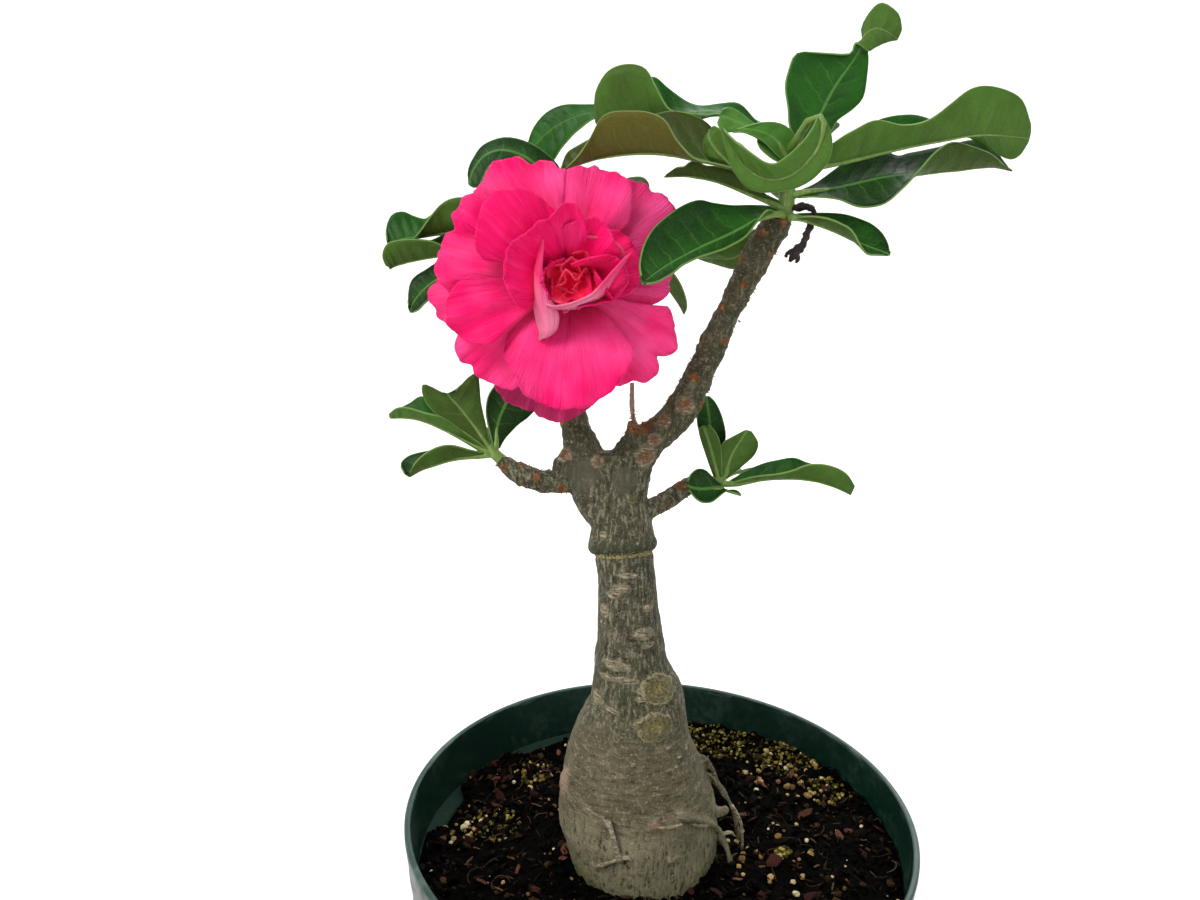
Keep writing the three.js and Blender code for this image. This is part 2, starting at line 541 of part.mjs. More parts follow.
// ---------------------------------------------------------------- assembly
const MATERIALS = {
  pot: new THREE.MeshStandardMaterial({ color: 0x1c342c, roughness: 0.45, metalness: 0 }),
  soil: new THREE.MeshStandardMaterial({ color: 0x3a2a1f, roughness: 0.95, metalness: 0 }),
  bark: new THREE.MeshStandardMaterial({ color: 0x77705f, roughness: 0.85, metalness: 0 }),
  leaf: new THREE.MeshStandardMaterial({ color: 0x2c6a33, roughness: 0.4, metalness: 0 }),
  petal: new THREE.MeshStandardMaterial({ color: 0xf0247c, roughness: 0.6, metalness: 0 }),
  calyx: new THREE.MeshStandardMaterial({ color: 0x6f8f3c, roughness: 0.55, metalness: 0 }),
  dried: new THREE.MeshStandardMaterial({ color: 0x2b1c18, roughness: 0.9, metalness: 0 }),
  twig: new THREE.MeshStandardMaterial({ color: 0x8a7350, roughness: 0.9, metalness: 0 }),
};

function named(name, solid, material) {
  const mesh = solid.getMesh();
  const geometry = new THREE.BufferGeometry();
  const positions = new Float32Array(mesh.numVert * 3);
  for (let i = 0; i < mesh.numVert; i += 1) {
    for (let k = 0; k < 3; k += 1) positions[3 * i + k] = mesh.vertProperties[mesh.numProp * i + k];
  }
  geometry.setAttribute('position', new THREE.BufferAttribute(positions, 3));
  geometry.setIndex(new THREE.BufferAttribute(mesh.triVerts, 1));
  const out = new THREE.Mesh(geometry, material);
  out.name = name;
  return out;
}

// each green stem stands in a shallow socket in the end of its branch
function socketed(trunk) {
  let out = trunk;
  for (const [stem, r] of [[TOP_STEM, 2.9], [BLOOM_STEM, 2.8], [LEFT_STEM, 2.3], [RIGHT_STEM, 2.4]]) {
    const [a, b] = [stem[0], stem[1]].map((p) => new THREE.Vector3(...p));
    const back = a.clone().addScaledVector(b.clone().sub(a).normalize(), -CLEAR);
    const path = [back, b, b.clone().addScaledVector(b.clone().sub(a), 1.2)];
    out = out.subtract(tube(path.map((p) => p.toArray()), [r, r, r], 16, CLEAR));
  }
  return out;
}

const group = new THREE.Group();
group.name = 'potted_desert_rose';
const parts = [
  named('pot', makePot(), MATERIALS.pot),
  named('soil', makeSoil(), MATERIALS.soil),
  named('trunk_and_branches', socketed(makeTrunk()), MATERIALS.bark),
  named('shoot_top', shoot(TOP_STEM, [2.8, 2.8, 2.7, 2.2, 1.2], TOP_LEAVES), MATERIALS.leaf),
  named('shoot_behind_bloom', shoot(BLOOM_STEM, [2.7, 2.7, 2.5, 2.2, 1], BLOOM_LEAVES), MATERIALS.leaf),
  named('shoot_left', shoot(LEFT_STEM, [2.2, 2.2, 2, 1.2], LEFT_LEAVES), MATERIALS.leaf),
  named('shoot_right', shoot(RIGHT_STEM, [2.3, 2.3, 2.1, 1.2], RIGHT_LEAVES), MATERIALS.leaf),
  named('bloom_corolla', makeCorolla(), MATERIALS.petal),
  named('bloom_calyx', makeCalyx(), MATERIALS.calyx),
  named('dried_stalk', makeDriedStalk(), MATERIALS.dried),
  named('dry_twig', makeTwig(), MATERIALS.twig),
];
for (const part of parts) group.add(part);

export default group;
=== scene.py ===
"""Potted desert rose: a swollen grey caudex in a plastic pot, leafy shoots and one double pink bloom.
Shapes are worked out in millimetres, +Z up, the viewer on the -Y side; settle() makes them metres."""

import math
import random

import bmesh
import bpy
from mathutils import Matrix, Vector, noise


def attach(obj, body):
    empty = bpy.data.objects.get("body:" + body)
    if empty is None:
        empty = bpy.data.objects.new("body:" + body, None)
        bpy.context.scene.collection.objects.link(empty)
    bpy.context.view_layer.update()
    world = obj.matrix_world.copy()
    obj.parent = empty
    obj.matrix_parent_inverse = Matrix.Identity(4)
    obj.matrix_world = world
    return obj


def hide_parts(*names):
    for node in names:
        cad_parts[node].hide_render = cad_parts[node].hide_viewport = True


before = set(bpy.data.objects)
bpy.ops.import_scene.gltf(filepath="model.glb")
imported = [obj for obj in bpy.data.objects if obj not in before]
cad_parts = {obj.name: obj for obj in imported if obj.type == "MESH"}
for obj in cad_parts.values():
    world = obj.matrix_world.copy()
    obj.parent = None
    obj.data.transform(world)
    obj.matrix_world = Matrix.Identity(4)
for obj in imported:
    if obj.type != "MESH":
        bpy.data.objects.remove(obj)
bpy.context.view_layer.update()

MM = 0.001
scene = bpy.context.scene

RIM_RADIUS = 100
POT_HEIGHT = 150
LEDGE_OUTER = 95.5
LEDGE_INNER = 90.5
LEDGE_Z = 126
BASE_RADIUS = 70
WALL = 1.6
POT_FLOOR = 2
DRAIN_HOLES = 8
DRAIN_CIRCLE = 56
DRAIN_RADIUS = 4.5
TRUNK_Y = -6
GRAFT_Z = 256.3
LEAF_THICK = 0.6
PETAL_THICK = 0.55
SEPAL_THICK = 0.6
VEIN_STEP = 5.6
GOLDEN_ANGLE = 137.5
FULL_TURN = 2 * math.pi


def clamp(x, low=0.0, high=1.0):
    return min(high, max(low, x))


def smooth(x):
    x = clamp(x)
    return x * x * (3 - 2 * x)


def mix(a, b, k):
    return a + (b - a) * k


def waver(x, y, z, size):
    """Smooth noise from -1 to 1 whose lumps are about 'size' millimetres."""
    return noise.noise(Vector((x, y, z)) / size)


# ------------------------------------------------------------------ the photograph's viewpoint
# the eye and the three turns were fitted to places along the pot's rim, for a rim 200 mm across
PICTURE = (1200, 900)
FOCAL_PIXELS = 900
EYE = Vector((0, -322.7, 368.2))
YAW, PITCH, ROLL = [math.radians(a) for a in (-4.77, 13.02, 1.40)]


def sight():
    """The viewer's right, up and forward directions, looking a little down and to the left."""
    ahead = Vector((math.sin(YAW) * math.cos(PITCH), math.cos(YAW) * math.cos(PITCH), -math.sin(PITCH)))
    level = Vector((math.cos(YAW), -math.sin(YAW), 0))
    above = level.cross(ahead)
    right = math.cos(ROLL) * level + math.sin(ROLL) * above
    up = math.cos(ROLL) * above - math.sin(ROLL) * level
    return right, up, ahead


SIGHT = sight()


def seen(px, py, y):
    """The point at depth y, in millimetres, that shows at a place of the 1200 by 900 picture."""
    right, up, ahead = SIGHT
    ray = ahead * FOCAL_PIXELS + right * (px - PICTURE[0] / 2) - up * (py - PICTURE[1] / 2)
    return EYE + ray * ((y - EYE.y) / ray.y)


# ------------------------------------------------------------------ finishes
def tint(code):
    """A colour as a painter's hex code, made linear for the shader."""
    parts = [int(code[i:i + 2], 16) / 255 for i in (0, 2, 4)]
    return [p / 12.92 if p <= 0.04045 else ((p + 0.055) / 1.055) ** 2.4 for p in parts] + [1]


class Value:
    """A number that varies over a surface; arithmetic on it adds Math nodes."""

    def __init__(self, finish, socket):
        self.finish = finish
        self.socket = socket

    def maths(self, operation, *terms):
        node = self.finish.node("Math", {"operation": operation}, dict(enumerate(terms)))
        return Value(self.finish, node.outputs[0])

    def __add__(self, other):
        return self.maths("ADD", self, other)

    __radd__ = __add__

    def __sub__(self, other):
        return self.maths("SUBTRACT", self, other)

    def __rsub__(self, other):
        return self.maths("SUBTRACT", other, self)

    def __mul__(self, other):
        return self.maths("MULTIPLY", self, other)

    __rmul__ = __mul__

    def __truediv__(self, other):
        return self.maths("DIVIDE", self, other)

    def __rtruediv__(self, other):
        return self.maths("DIVIDE", other, self)

    def __pow__(self, other):
        return self.maths("POWER", self, other)

    def __abs__(self):
        return self.maths("ABSOLUTE", self)

    def least(self, other):
        return self.maths("MINIMUM", self, other)

    def most(self, other):
        return self.maths("MAXIMUM", self, other)

    def fraction(self):
        return self.maths("FRACT", self)

    def wave(self):
        return self.maths("SINE", self)

    def rise(self, low, high):
        """0 below low, 1 above high, smooth between; falls instead where low is the larger."""
        node = self.finish.node(
            "MapRange", {"interpolation_type": "SMOOTHSTEP"}, {0: self, 1: low, 2: high, 3: 0.0, 4: 1.0})
        return Value(self.finish, node.outputs[0])


class Finish:
    """A named material with one shader, and the nodes that drive it."""

    def __init__(self, name, **shader):
        self.material = bpy.data.materials.new(name)
        self.material.use_nodes = True
        self.tree = self.material.node_tree
        self.shader = self.tree.nodes["Principled BSDF"]
        for socket, value in shader.items():
            self.shader.inputs[socket.replace("_", " ")].default_value = value
        self.coordinates = self.node("TexCoord").outputs["Object"]

    def node(self, kind, settings=None, sockets=None):
        made = self.tree.nodes.new("ShaderNode" + kind)
        for key, value in (settings or {}).items():
            if key == "stops":
                steps = made.color_ramp.elements
                while len(steps) < len(value):
                    steps.new(1.0)
                for step, (place, code) in zip(steps, value):
                    step.position = place
                    step.color = tint(code)
            else:
                setattr(made, key, value)
        for key, value in (sockets or {}).items():
            if isinstance(value, Value):
                value = value.socket
            if isinstance(value, bpy.types.NodeSocket):
                self.tree.links.new(value, made.inputs[key])
            else:
                made.inputs[key].default_value = value
        return made

    def drive(self, **sockets):
        for socket, value in sockets.items():
            source = value.socket if isinstance(value, Value) else value
            self.tree.links.new(source, self.shader.inputs[socket.replace("_", " ")])

    def place(self):
        """Object coordinates as three values in millimetres."""
        return [part * 1000 for part in self.split(self.coordinates)]

    def split(self, vector):
        node = self.node("SeparateXYZ", None, {0: vector})
        return [Value(self, out) for out in node.outputs]

    def vector(self, x, y, z):
        return self.node("CombineXYZ", None, {0: x, 1: y, 2: z}).outputs[0]

    def read(self, name):
        """A number that the piece carries at its points."""
        return Value(self, self.node("Attribute", {"attribute_name": name}).outputs["Fac"])

    def read_vector(self, name):
        return self.split(self.node("Attribute", {"attribute_name": name}).outputs["Vector"])

    def laid_out(self, size, stretch, where):
        """Coordinates for a pattern of 'size' millimetres, drawn out along the axes by 'stretch'."""
        scale = [(1 if where else 1000) / (size * s) for s in stretch]
        sockets = {0: where or self.coordinates, "Scale": scale}
        return self.node("Mapping", {"vector_type": "POINT"}, sockets).outputs[0]

    def grain(self, size, detail=2.0, rough=0.5, stretch=(1, 1, 1), where=None, twist=0.0):
        """Noise from 0 to 1 in lumps."""
        node = self.node("TexNoise", None, {
            "Vector": self.laid_out(size, stretch, where), "Scale": 1.0, "Detail": detail,
            "Roughness": rough, "Distortion": twist})
        return Value(self, node.outputs[0])

    def cells(self, size):
        """Distance to the nearest border of a net of cells."""
        node = self.node("TexVoronoi", {"feature": "DISTANCE_TO_EDGE"}, {
            "Vector": self.laid_out(size, (1, 1, 1), None), "Scale": 1.0})
        return Value(self, node.outputs[0])

    def blend(self, factor, a, b, way="MIX"):
        settings = {"data_type": "RGBA", "blend_type": way, "clamp_factor": True}
        a, b = [tint(c) if isinstance(c, str) else c for c in (a, b)]
        return self.node("Mix", settings, {0: factor, 6: a, 7: b}).outputs[2]

    def ramp(self, factor, *stops):
        return self.node("ValToRGB", {"stops": stops}, {0: factor}).outputs[0]

    def bump(self, height):
        """Relief from a height in millimetres."""
        node = self.node("Bump", None, {"Strength": 1.0, "Distance": MM, "Height": height})
        self.drive(Normal=node.outputs[0])


def leaf_finish(name, deep, bright, vein, edge, gloss, relief, veining, shine=0.35, backlit_olive="3a4219"):
    """Leaf skin: relief is 1 on the upper side, where the veins are sunk, and -1 underneath."""
    f = Finish(name, Subsurface_Weight=0.05, Subsurface_Scale=0.001,
               Subsurface_Radius=(0.6, 1.0, 0.25), Specular_IOR_Level=shine)
    along, across, margin = f.read_vector("blade")
    tone = f.read("tone")
    side = abs(across)
    cloud = f.grain(9, 3)
    speck = f.grain(0.9, 2)
    drift = (f.grain(5, 2) - 0.5) * 0.7
    rib_half = (0.62 - along * 0.006).most(0.2)
    rib = (side / rib_half).rise(1.5, 0.5)
    step = along / VEIN_STEP - side * 0.085 + drift
    line = abs(step.fraction() - 0.5)
    share = side / (side + margin + 0.01)
    veins = line.rise(0.07, 0.0) * share.rise(1.0, 0.2)
    net = f.cells(1.4).rise(0.1, 0.0)
    rim = margin.rise(0.34, 0.05)
    colour = f.blend((cloud - 0.5) * 1.5 + tone, deep, bright)
    colour = f.blend(tone.rise(0.9, 2.0) * 0.9, colour, "74a34a")
    # painted light: a tone below zero turns a leaf olive, as light shining through a backlit leaf does
    colour = f.blend(tone.rise(-0.2, -0.9), colour, backlit_olive)
    colour = f.blend(net * 0.08, colour, vein)
    colour = f.blend(veins * veining, colour, vein)
    colour = f.blend(share.rise(0.9, 0.0) * 0.08, colour, vein)
    colour = f.blend(rib * 0.62, colour, vein)
    colour = f.blend(rim * 0.6, colour, edge)
    colour = f.blend((speck - 0.5).rise(0.1, 0.3) * 0.3, colour, deep)
    puckers = (line * 2).rise(0.0, 0.9) * share.rise(1.05, 0.5) * 0.26
    height = (puckers - rib * 0.25 - veins * 0.05) * relief + speck * 0.03 + net * 0.015
    f.bump(height)
    f.drive(Base_Color=colour, Roughness=gloss + (cloud - 0.5) * 0.25 + rib * 0.1 + speck * 0.08)
    return f.material


def stalk_finish(name, deep, bright):
    f = Finish(name, Subsurface_Weight=0.1, Subsurface_Scale=0.0015)
    cloud = f.grain(2.2, 3)
    streak = f.grain(0.7, 2, stretch=(1, 1, 5))
    colour = f.blend(cloud, deep, bright)
    colour = f.blend(streak.rise(0.5, 0.75) * 0.35, colour, "a9b77c")
    f.bump(streak * 0.12 + cloud * 0.1)
    f.drive(Base_Color=colour, Roughness=0.38 + cloud * 0.2)
    return f.material


def petal_finish(name, pale, hot, edge, gloss=0.5, blush=0.5, glow=0.0, ripen=0.45):
    """Petal skin: pale towards the foot, hot pink outward, darker in the fine rays and along the rim."""
    # Emission of strength 'glow' in ff1450 is a painted glow: it lights the shaded crevices of the heart,
    # where no lamp reaches
    f = Finish(name, Subsurface_Weight=0.15, Subsurface_Scale=0.002, Subsurface_Radius=(1.0, 0.4, 0.6),
               Specular_IOR_Level=0.15, Sheen_Weight=0.05, Sheen_Roughness=0.5,
               Emission_Strength=glow, Emission_Color=tint("ff1450"))
    along, across, margin = f.read_vector("blade")
    tone = f.read("tone")
    reach = f.read("reach")
    fan = across / (along + 11)
    streak = f.grain(1, 3, 0.6, where=f.vector(fan * 26, along * 0.06, tone * 9))
    thread = f.grain(1, 2, 0.5, where=f.vector(fan * 80, along * 0.09, tone * 5))
    cloud = f.grain(8, 3, 0.55)
    patch = f.grain(15, 1)
    warm = reach.rise(0.15, 0.95) * ripen + (patch - 0.5) * 2.0 + (tone - 0.5) * 0.9 + blush
    colour = f.blend(warm, pale, hot)
    # painted shade: a tone below zero darkens a petal to dark magenta, for petals lying in shadow behind
    # others
    colour = f.blend(tone.rise(0.1, -0.6), colour, "a01a52")
    colour = f.blend(streak.rise(0.45, 0.75) * 0.24, colour, edge)
    colour = f.blend(streak.rise(0.5, 0.2) * 0.4, colour, pale)
    colour = f.blend(thread.rise(0.5, 0.8) * 0.18, colour, edge)
    colour = f.blend(cloud.rise(0.5, 0.8) * 0.3, colour, edge)
    # painted shade: petals of higher tone darken towards their foot, deep in the bloom's centre
    colour = f.blend(reach.rise(0.6, 0.3) * tone.rise(0.15, 0.4) * 0.4, colour, edge)
    rim = (margin + (streak - 0.5) * 2.4).rise(2.0, 0.1)
    colour = f.blend(rim * 0.25, colour, edge)
    frill = margin.rise(9.0, 0.5)
    rays = (1 - streak) * 0.5 + thread * (0.12 + frill * 0.7)
    f.bump(rays + cloud * 0.5 + f.grain(0.5, 1) * 0.02)
    f.drive(Base_Color=colour, Roughness=gloss + (cloud - 0.5) * 0.2)
    return f.material


def bark_finish():
    f = Finish("weathered caudex bark", Specular_IOR_Level=0.2)
    x, y, z = f.place()
    scar, knot, rust, lichen, flush, calm = [f.read(n) for n in BARK_READS]
    cloud = f.grain(17, 4, 0.6)
    patch = f.grain(10, 2)
    mottle = f.grain(2.2, 4, 0.65)
    fleck = f.grain(0.9, 3, 0.6)
    dust = f.grain(0.45, 2)
    wrinkle = f.grain(0.75, 3, 0.6, stretch=(3.2, 3.2, 1), twist=0.5)
    branch = (z + (cloud - 0.5) * 10).rise(286, 298)
    waist = (z + (cloud - 0.5) * 12).rise(176, 206)
    foot = (z + (patch - 0.5) * 16).rise(166, 148)
    rough = 1 - calm * 0.5
    colour = f.blend(waist, "5c5540", "464333")
    colour = f.blend(foot * (1 - waist), colour, "8a8368")
    colour = f.blend(branch, colour, "423f2c")
    colour = f.blend(cloud.rise(0.5, 0.8) * 0.35, colour, "827a64")
    colour = f.blend(cloud.rise(0.5, 0.2) * 0.5, colour, "3a3729")
    green_patch = (patch + mottle * 0.4).rise(0.66, 0.86) * waist.most(0.35)
    colour = f.blend(green_patch * 0.45, colour, "3d452f")
    # upright wavy creases on the trunk and at the foot, level ones in between, weaker ones on the branches
    bend = (mottle - 0.5) * 2.4
    standing = f.grain(1.15, 3, 0.6, where=f.vector(x + bend, y - bend, z * 0.2 + bend * 0.2))
    level = f.grain(1.2, 3, 0.6, where=f.vector(x * 0.2 + bend * 0.2, y * 0.2, z + bend * 0.5))
    upright = (waist + foot).least(1) * (1 - branch * 0.55)
    lie = (1 - waist - foot).most(0)
    crack = (standing.rise(0.46, 0.34) * upright).most(level.rise(0.44, 0.32) * lie * 0.7) * rough
    ridge = (standing.rise(0.52, 0.64) * upright).most(level.rise(0.54, 0.68) * lie * 0.7) * rough
    colour = f.blend(ridge * 0.55, colour, "9c957c")
    colour = f.blend(crack * 0.85, colour, "1f1f15")
    colour = f.blend(mottle.rise(0.54, 0.72) * 0.4 * rough, colour, "a39b82")
    colour = f.blend(mottle.rise(0.46, 0.26) * 0.6 * rough, colour, "24221a")
    colour = f.blend(fleck.rise(0.57, 0.7) * 0.45 * rough, colour, "aca389")
    colour = f.blend(fleck.rise(0.43, 0.3) * 0.4 * rough, colour, "26241a")
    colour = f.blend(fleck.rise(0.4, 0.28) * branch * 0.5, colour, "2c2216")
    colour = f.blend(calm * 0.5, colour, f.blend(cloud, "45443a", "5d5b4d"))
    # graft: a dark green swelling over a pale flecked seam that climbs to the right
    seam = z - GRAFT_Z - (x + 16.5) * 0.113 + (y - TRUNK_Y) * 0.209 + (mottle - 0.5) * 2.4
    colour = f.blend((abs(seam - 3.0) / 3.4).rise(1.0, 0.4) * 0.55, colour, "353c27")
    colour = f.blend((abs(seam) / 1.3).rise(1.0, 0.3) * fleck.rise(0.35, 0.6), colour, "9a8d5e")
    colour = f.blend((abs(seam - 1.0) / 1.2).rise(1.0, 0.2) * fleck.rise(0.56, 0.42) * 0.9, colour, "191a0f")
    # large oval scars: an uneven pale rim round a cracked ochre middle; the reach is 1 at the rim
    ripple = scar + (mottle - 0.5) * 0.6 + (fleck - 0.5) * 0.4
    disc = ripple.rise(1.1, 0.95)
    rings = (ripple * 24).wave().rise(0.2, 0.95) * disc * mottle.rise(0.3, 0.5)
    rim = (abs(ripple - 0.98) / 0.11).rise(1.0, 0.2)
    colour = f.blend(disc * 0.3, colour, "7c7647")
    colour = f.blend((rings * 0.3).most(rim * mottle.rise(0.3, 0.5) * 0.6), colour, "bcb28c")
    colour = f.blend(ripple.rise(0.5, 0.15) * fleck.rise(0.35, 0.6) * 0.8, colour, "9a8b48")
    colour = f.blend(disc * fleck.rise(0.44, 0.32) * 0.7, colour, "332a18")
    # knots: crumpled pale level folds with dark slits and some rust
    crumple = (knot + (mottle - 0.5) * 0.9).rise(1.2, 0.8)
    folds = wrinkle.rise(0.46, 0.58)
    colour = f.blend(crumple * (0.35 + folds * 0.55), colour, "b8ab8f")
    colour = f.blend(crumple * wrinkle.rise(0.44, 0.34) * 0.8, colour, "2f2618")
    colour = f.blend(crumple * fleck.rise(0.58, 0.7) * 0.6, colour, "84533a")
    colour = f.blend(rust * fleck.rise(0.3, 0.55), colour, "7b4d28")
    colour = f.blend(rust * mottle.rise(0.52, 0.66) * 0.8, colour, "a9814f")
    colour = f.blend(rust * fleck.rise(0.42, 0.3) * 0.9, colour, "20150c")
    colour = f.blend(flush * 0.5, colour, "a98d7c")
    colour = f.blend(lichen * mottle.rise(0.4, 0.58) * 0.8, colour, "5f6626")
    # darker towards the bottom, just above the soil
    bottom_darkening = (z + (cloud - 0.5) * 8).rise(136, 129)
    colour = f.blend(bottom_darkening * 0.5, colour, "38351f")
    creases = (standing * upright + level * lie) * 0.9 * rough
    height = mottle * 0.35 + creases + fleck * 0.2 * rough + dust * 0.08
    height = height + (rings + rim) * 0.35 + crumple * folds * 0.5 + rust * fleck * 0.5
    f.bump(height)
    f.drive(Base_Color=colour, Roughness=0.72 + (mottle - 0.5) * 0.3 - calm * 0.12)
    return f.material


def pot_finish():
    f = Finish("dark green nursery pot plastic", Specular_IOR_Level=0.3)
    x, y, z = f.place()
    cloud = f.grain(22, 3)
    fine = f.grain(0.6, 2)
    scuff = f.grain(1.4, 3, stretch=(9, 9, 1))
    dust = f.grain(3.2, 4, 0.65)
    colour = f.blend(cloud, "021a13", "06271d")
    lip = (z + (dust - 0.5) * 0.5).rise(149.2, 149.75)
    colour = f.blend(lip * 0.5, colour, "38554c")
    wear = (z + (scuff - 0.5) * 3).rise(147.5, 149.8) * scuff.rise(0.5, 0.7)
    colour = f.blend(wear * 0.4, colour, "6d857b")
    reach = (x * x + y * y) ** 0.5
    inside = (97.6 - reach).rise(-0.4, 0.6) * z.rise(118, 124)
    splash = inside * (z + (dust - 0.5) * 26).rise(141, 128) * dust.rise(0.52, 0.68)
    colour = f.blend(splash * 0.75, colour, "3b2e22")
    ledge = z.rise(127.2, 126.3) * inside
    colour = f.blend(ledge * 0.6, colour, "0b2f24")
    film = (dust * cloud).rise(0.2, 0.42)
    colour = f.blend(film * 0.1, colour, "5d7267")
    f.bump(fine * 0.03 + scuff * 0.03 + dust * 0.05)
    worn = film * 0.25 + splash * 0.4 + wear * 0.2 + ledge * 0.5
    f.drive(Base_Color=colour, Roughness=0.34 + worn)
    return f.material


def grit_finish(name, stops, rough=0.9, relief=0.25, size=0.7):
    """Loose bits whose own colour is drawn from the stops, one place for each bit."""
    f = Finish(name, Specular_IOR_Level=0.03)
    tone = f.read("tone")
    fine = f.grain(size, 3, 0.65)
    colour = f.ramp(tone + (fine - 0.5) * 0.35, *stops)
    colour = f.blend(fine.rise(0.5, 0.25) * 0.45, colour, stops[0][1])
    f.bump(fine * relief)
    f.drive(Base_Color=colour, Roughness=rough - fine * 0.2)
    return f.material


def dry_finish(name, dark, light, rough=0.85):
    f = Finish(name)
    wrinkle = f.grain(0.8, 4, 0.7, stretch=(1, 1, 3))
    cloud = f.grain(3, 2)
    colour = f.blend(wrinkle.rise(0.35, 0.7), dark, light)
    colour = f.blend(cloud.rise(0.55, 0.8) * 0.4, colour, "6e5238")
    f.bump(wrinkle * 0.4 + cloud * 0.2)
    f.drive(Base_Color=colour, Roughness=rough - cloud * 0.2)
    return f.material


# ------------------------------------------------------------------ mesh helpers
def meshed(bm, name):
    """The bmesh as a mesh; frees the bmesh."""
    mesh = bpy.data.meshes.new(name)
    bm.to_mesh(mesh)
    bm.free()
    return mesh


def linked(name, data):
    """A new object of the scene, at its origin."""
    made = bpy.data.objects.new(name, data)
    scene.collection.objects.link(made)
    return made


def settle(bm, name, finishes, replaces=(), soft=True):
    """Makes a bmesh in millimetres a finished piece of the plant."""
    bmesh.ops.scale(bm, vec=(MM, MM, MM), verts=bm.verts)
    mesh = meshed(bm, name)
    for finish in finishes:
        mesh.materials.append(finish)
    if soft:
        mesh.shade_smooth()
    piece = linked(name, mesh)
    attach(piece, "root")
    if replaces:
        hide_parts(*replaces)
    return piece


def thicken(piece, thick, back=1):
    """Gives a sheet its thickness; 'back' is how many places on in the list its other side's finish is."""
    shell = piece.modifiers.new("thickness", "SOLIDIFY")
    shell.thickness = thick * MM
    shell.offset = 0
    shell.material_offset = back
    return piece


def lathed(profile, steps, weld):
    """Turns a profile of (radius, height) places round the upright axis."""
    bm = bmesh.new()
    last = None
    for r, z in profile:
        point = bm.verts.new((r, 0, z))
        if last:
            bm.edges.new((last, point))
        last = point
    bmesh.ops.spin(bm, geom=bm.verts[:] + bm.edges[:], cent=(0, 0, 0), axis=(0, 0, 1),
                   angle=FULL_TURN, steps=steps, use_merge=True)
    bmesh.ops.remove_doubles(bm, verts=bm.verts, dist=weld)
    return bm


def pour(bm, mesh):
    """Adds a mesh to a bmesh and drops it."""
    bm.from_mesh(mesh)
    bpy.data.meshes.remove(mesh)


def drop(piece):
    data = piece.data
    bpy.data.objects.remove(piece)
    if isinstance(data, bpy.types.Mesh):
        bpy.data.meshes.remove(data)
    else:
        bpy.data.curves.remove(data)


def tube(path, radii, round_steps=4, steps=4):
    """Closed round stem through the points of the path, as a mesh."""
    curve = bpy.data.curves.new("guide", "CURVE")
    curve.dimensions = "3D"
    curve.bevel_depth = 1.0
    curve.bevel_resolution = round_steps
    curve.resolution_u = steps
    curve.use_fill_caps = True
    line = curve.splines.new("BEZIER")
    line.bezier_points.add(len(path) - 1)
    for point, at, radius in zip(line.bezier_points, path, radii):
        point.co = at
        point.radius = radius
        point.handle_left_type = point.handle_right_type = "AUTO"
    guide = bpy.data.objects.new("guide", curve)
    mesh = bpy.data.meshes.new_from_object(guide)
    drop(guide)
    return mesh


def tubes(runs, round_steps=4, steps=4):
    """Several stems in one bmesh, caps sewn on."""
    bm = bmesh.new()
    for path, radii in runs:
        pour(bm, tube(path, radii, round_steps, steps))
    bmesh.ops.remove_doubles(bm, verts=bm.verts, dist=1e-4)
    bmesh.ops.recalc_face_normals(bm, faces=bm.faces)
    return bm


def modified(bm, kind, **settings):
    """The bmesh after one modifier, as a new bmesh; frees the old one."""
    blank = linked("blank", meshed(bm, "blank"))
    change = blank.modifiers.new("change", kind)
    for key, value in settings.items():
        setattr(change, key, value)
    graph = bpy.context.evaluated_depsgraph_get()
    done = bpy.data.meshes.new_from_object(blank.evaluated_get(graph))
    drop(blank)
    out = bmesh.new()
    pour(out, done)
    return out


def roughen(bm, amount, size, seed=0):
    """Pushes every point along its normal by smooth noise."""
    bm.normal_update()
    for v in bm.verts:
        push = waver(v.co.x + seed, v.co.y, v.co.z, size)
        v.co += v.normal * amount * push


# ------------------------------------------------------------------ blades
def leaf(base, turn, rise, droop, sway, length, width, fold, **more):
    """A blade on its midrib: it climbs at 'rise' degrees, droops and sways, each half folded up."""
    made = {"base": base, "turn": turn, "rise": rise, "droop": droop, "sway": sway, "length": length,
            "width": width, "fold": fold, "tip": fold, "dip": 0, "wide": 0.66, "point": 0.6, "wave": 0,
            "waves": 1.5, "phase": 0, "notch": 0, "curl": 0, "bend_from": 0.2, "bend_to": 0.85,
            "pucker": 0.25, "ruffle": 0.35, "seed": 0.0}
    made.update(more)
    return made


def heading(blade, t):
    up = math.radians(blade["rise"] - blade["droop"] * t - blade["dip"] * t ** 3)
    turn = math.radians(blade["turn"] + blade["sway"] * t)
    along = Vector((math.cos(up) * math.cos(turn), math.cos(up) * math.sin(turn), math.sin(up)))
    side = Vector((-math.sin(turn), math.cos(turn), 0))
    return along, side, along.cross(side)


def traced(depths, leans, tone, rows):
    """A blade whose midrib and two edges show at places read off the 1200 by 900 picture.
    Each row is the midrib, one edge and the other; the midrib runs evenly through the depths, which are
    chosen, and each edge leans away from it in y."""
    lines = []
    last = len(rows) - 1
    for k, row in enumerate(rows):
        t = k / last
        spot = t * (len(depths) - 1)
        i = min(int(spot), len(depths) - 2)
        y = mix(depths[i], depths[i + 1], spot - i)
        broad = math.sqrt(4 * t * (1 - t))
        lines.append((seen(row[0], row[1], y), seen(row[2], row[3], y + leans[0] * broad),
                      seen(row[4], row[5], y + leans[1] * broad)))
    length = sum((b[0] - a[0]).length for a, b in zip(lines, lines[1:]))
    width = max((row[1] - row[0]).length + (row[2] - row[0]).length for row in lines)
    base = tuple(lines[0][0])
    return {"rows": lines, "length": length, "width": width, "base": base, "turn": lines[0][0].x,
            "pucker": 0.11 * smooth(width / 30), "ruffle": 0.3, "belly": 0.16, "seed": 0.0, "tone": tone}


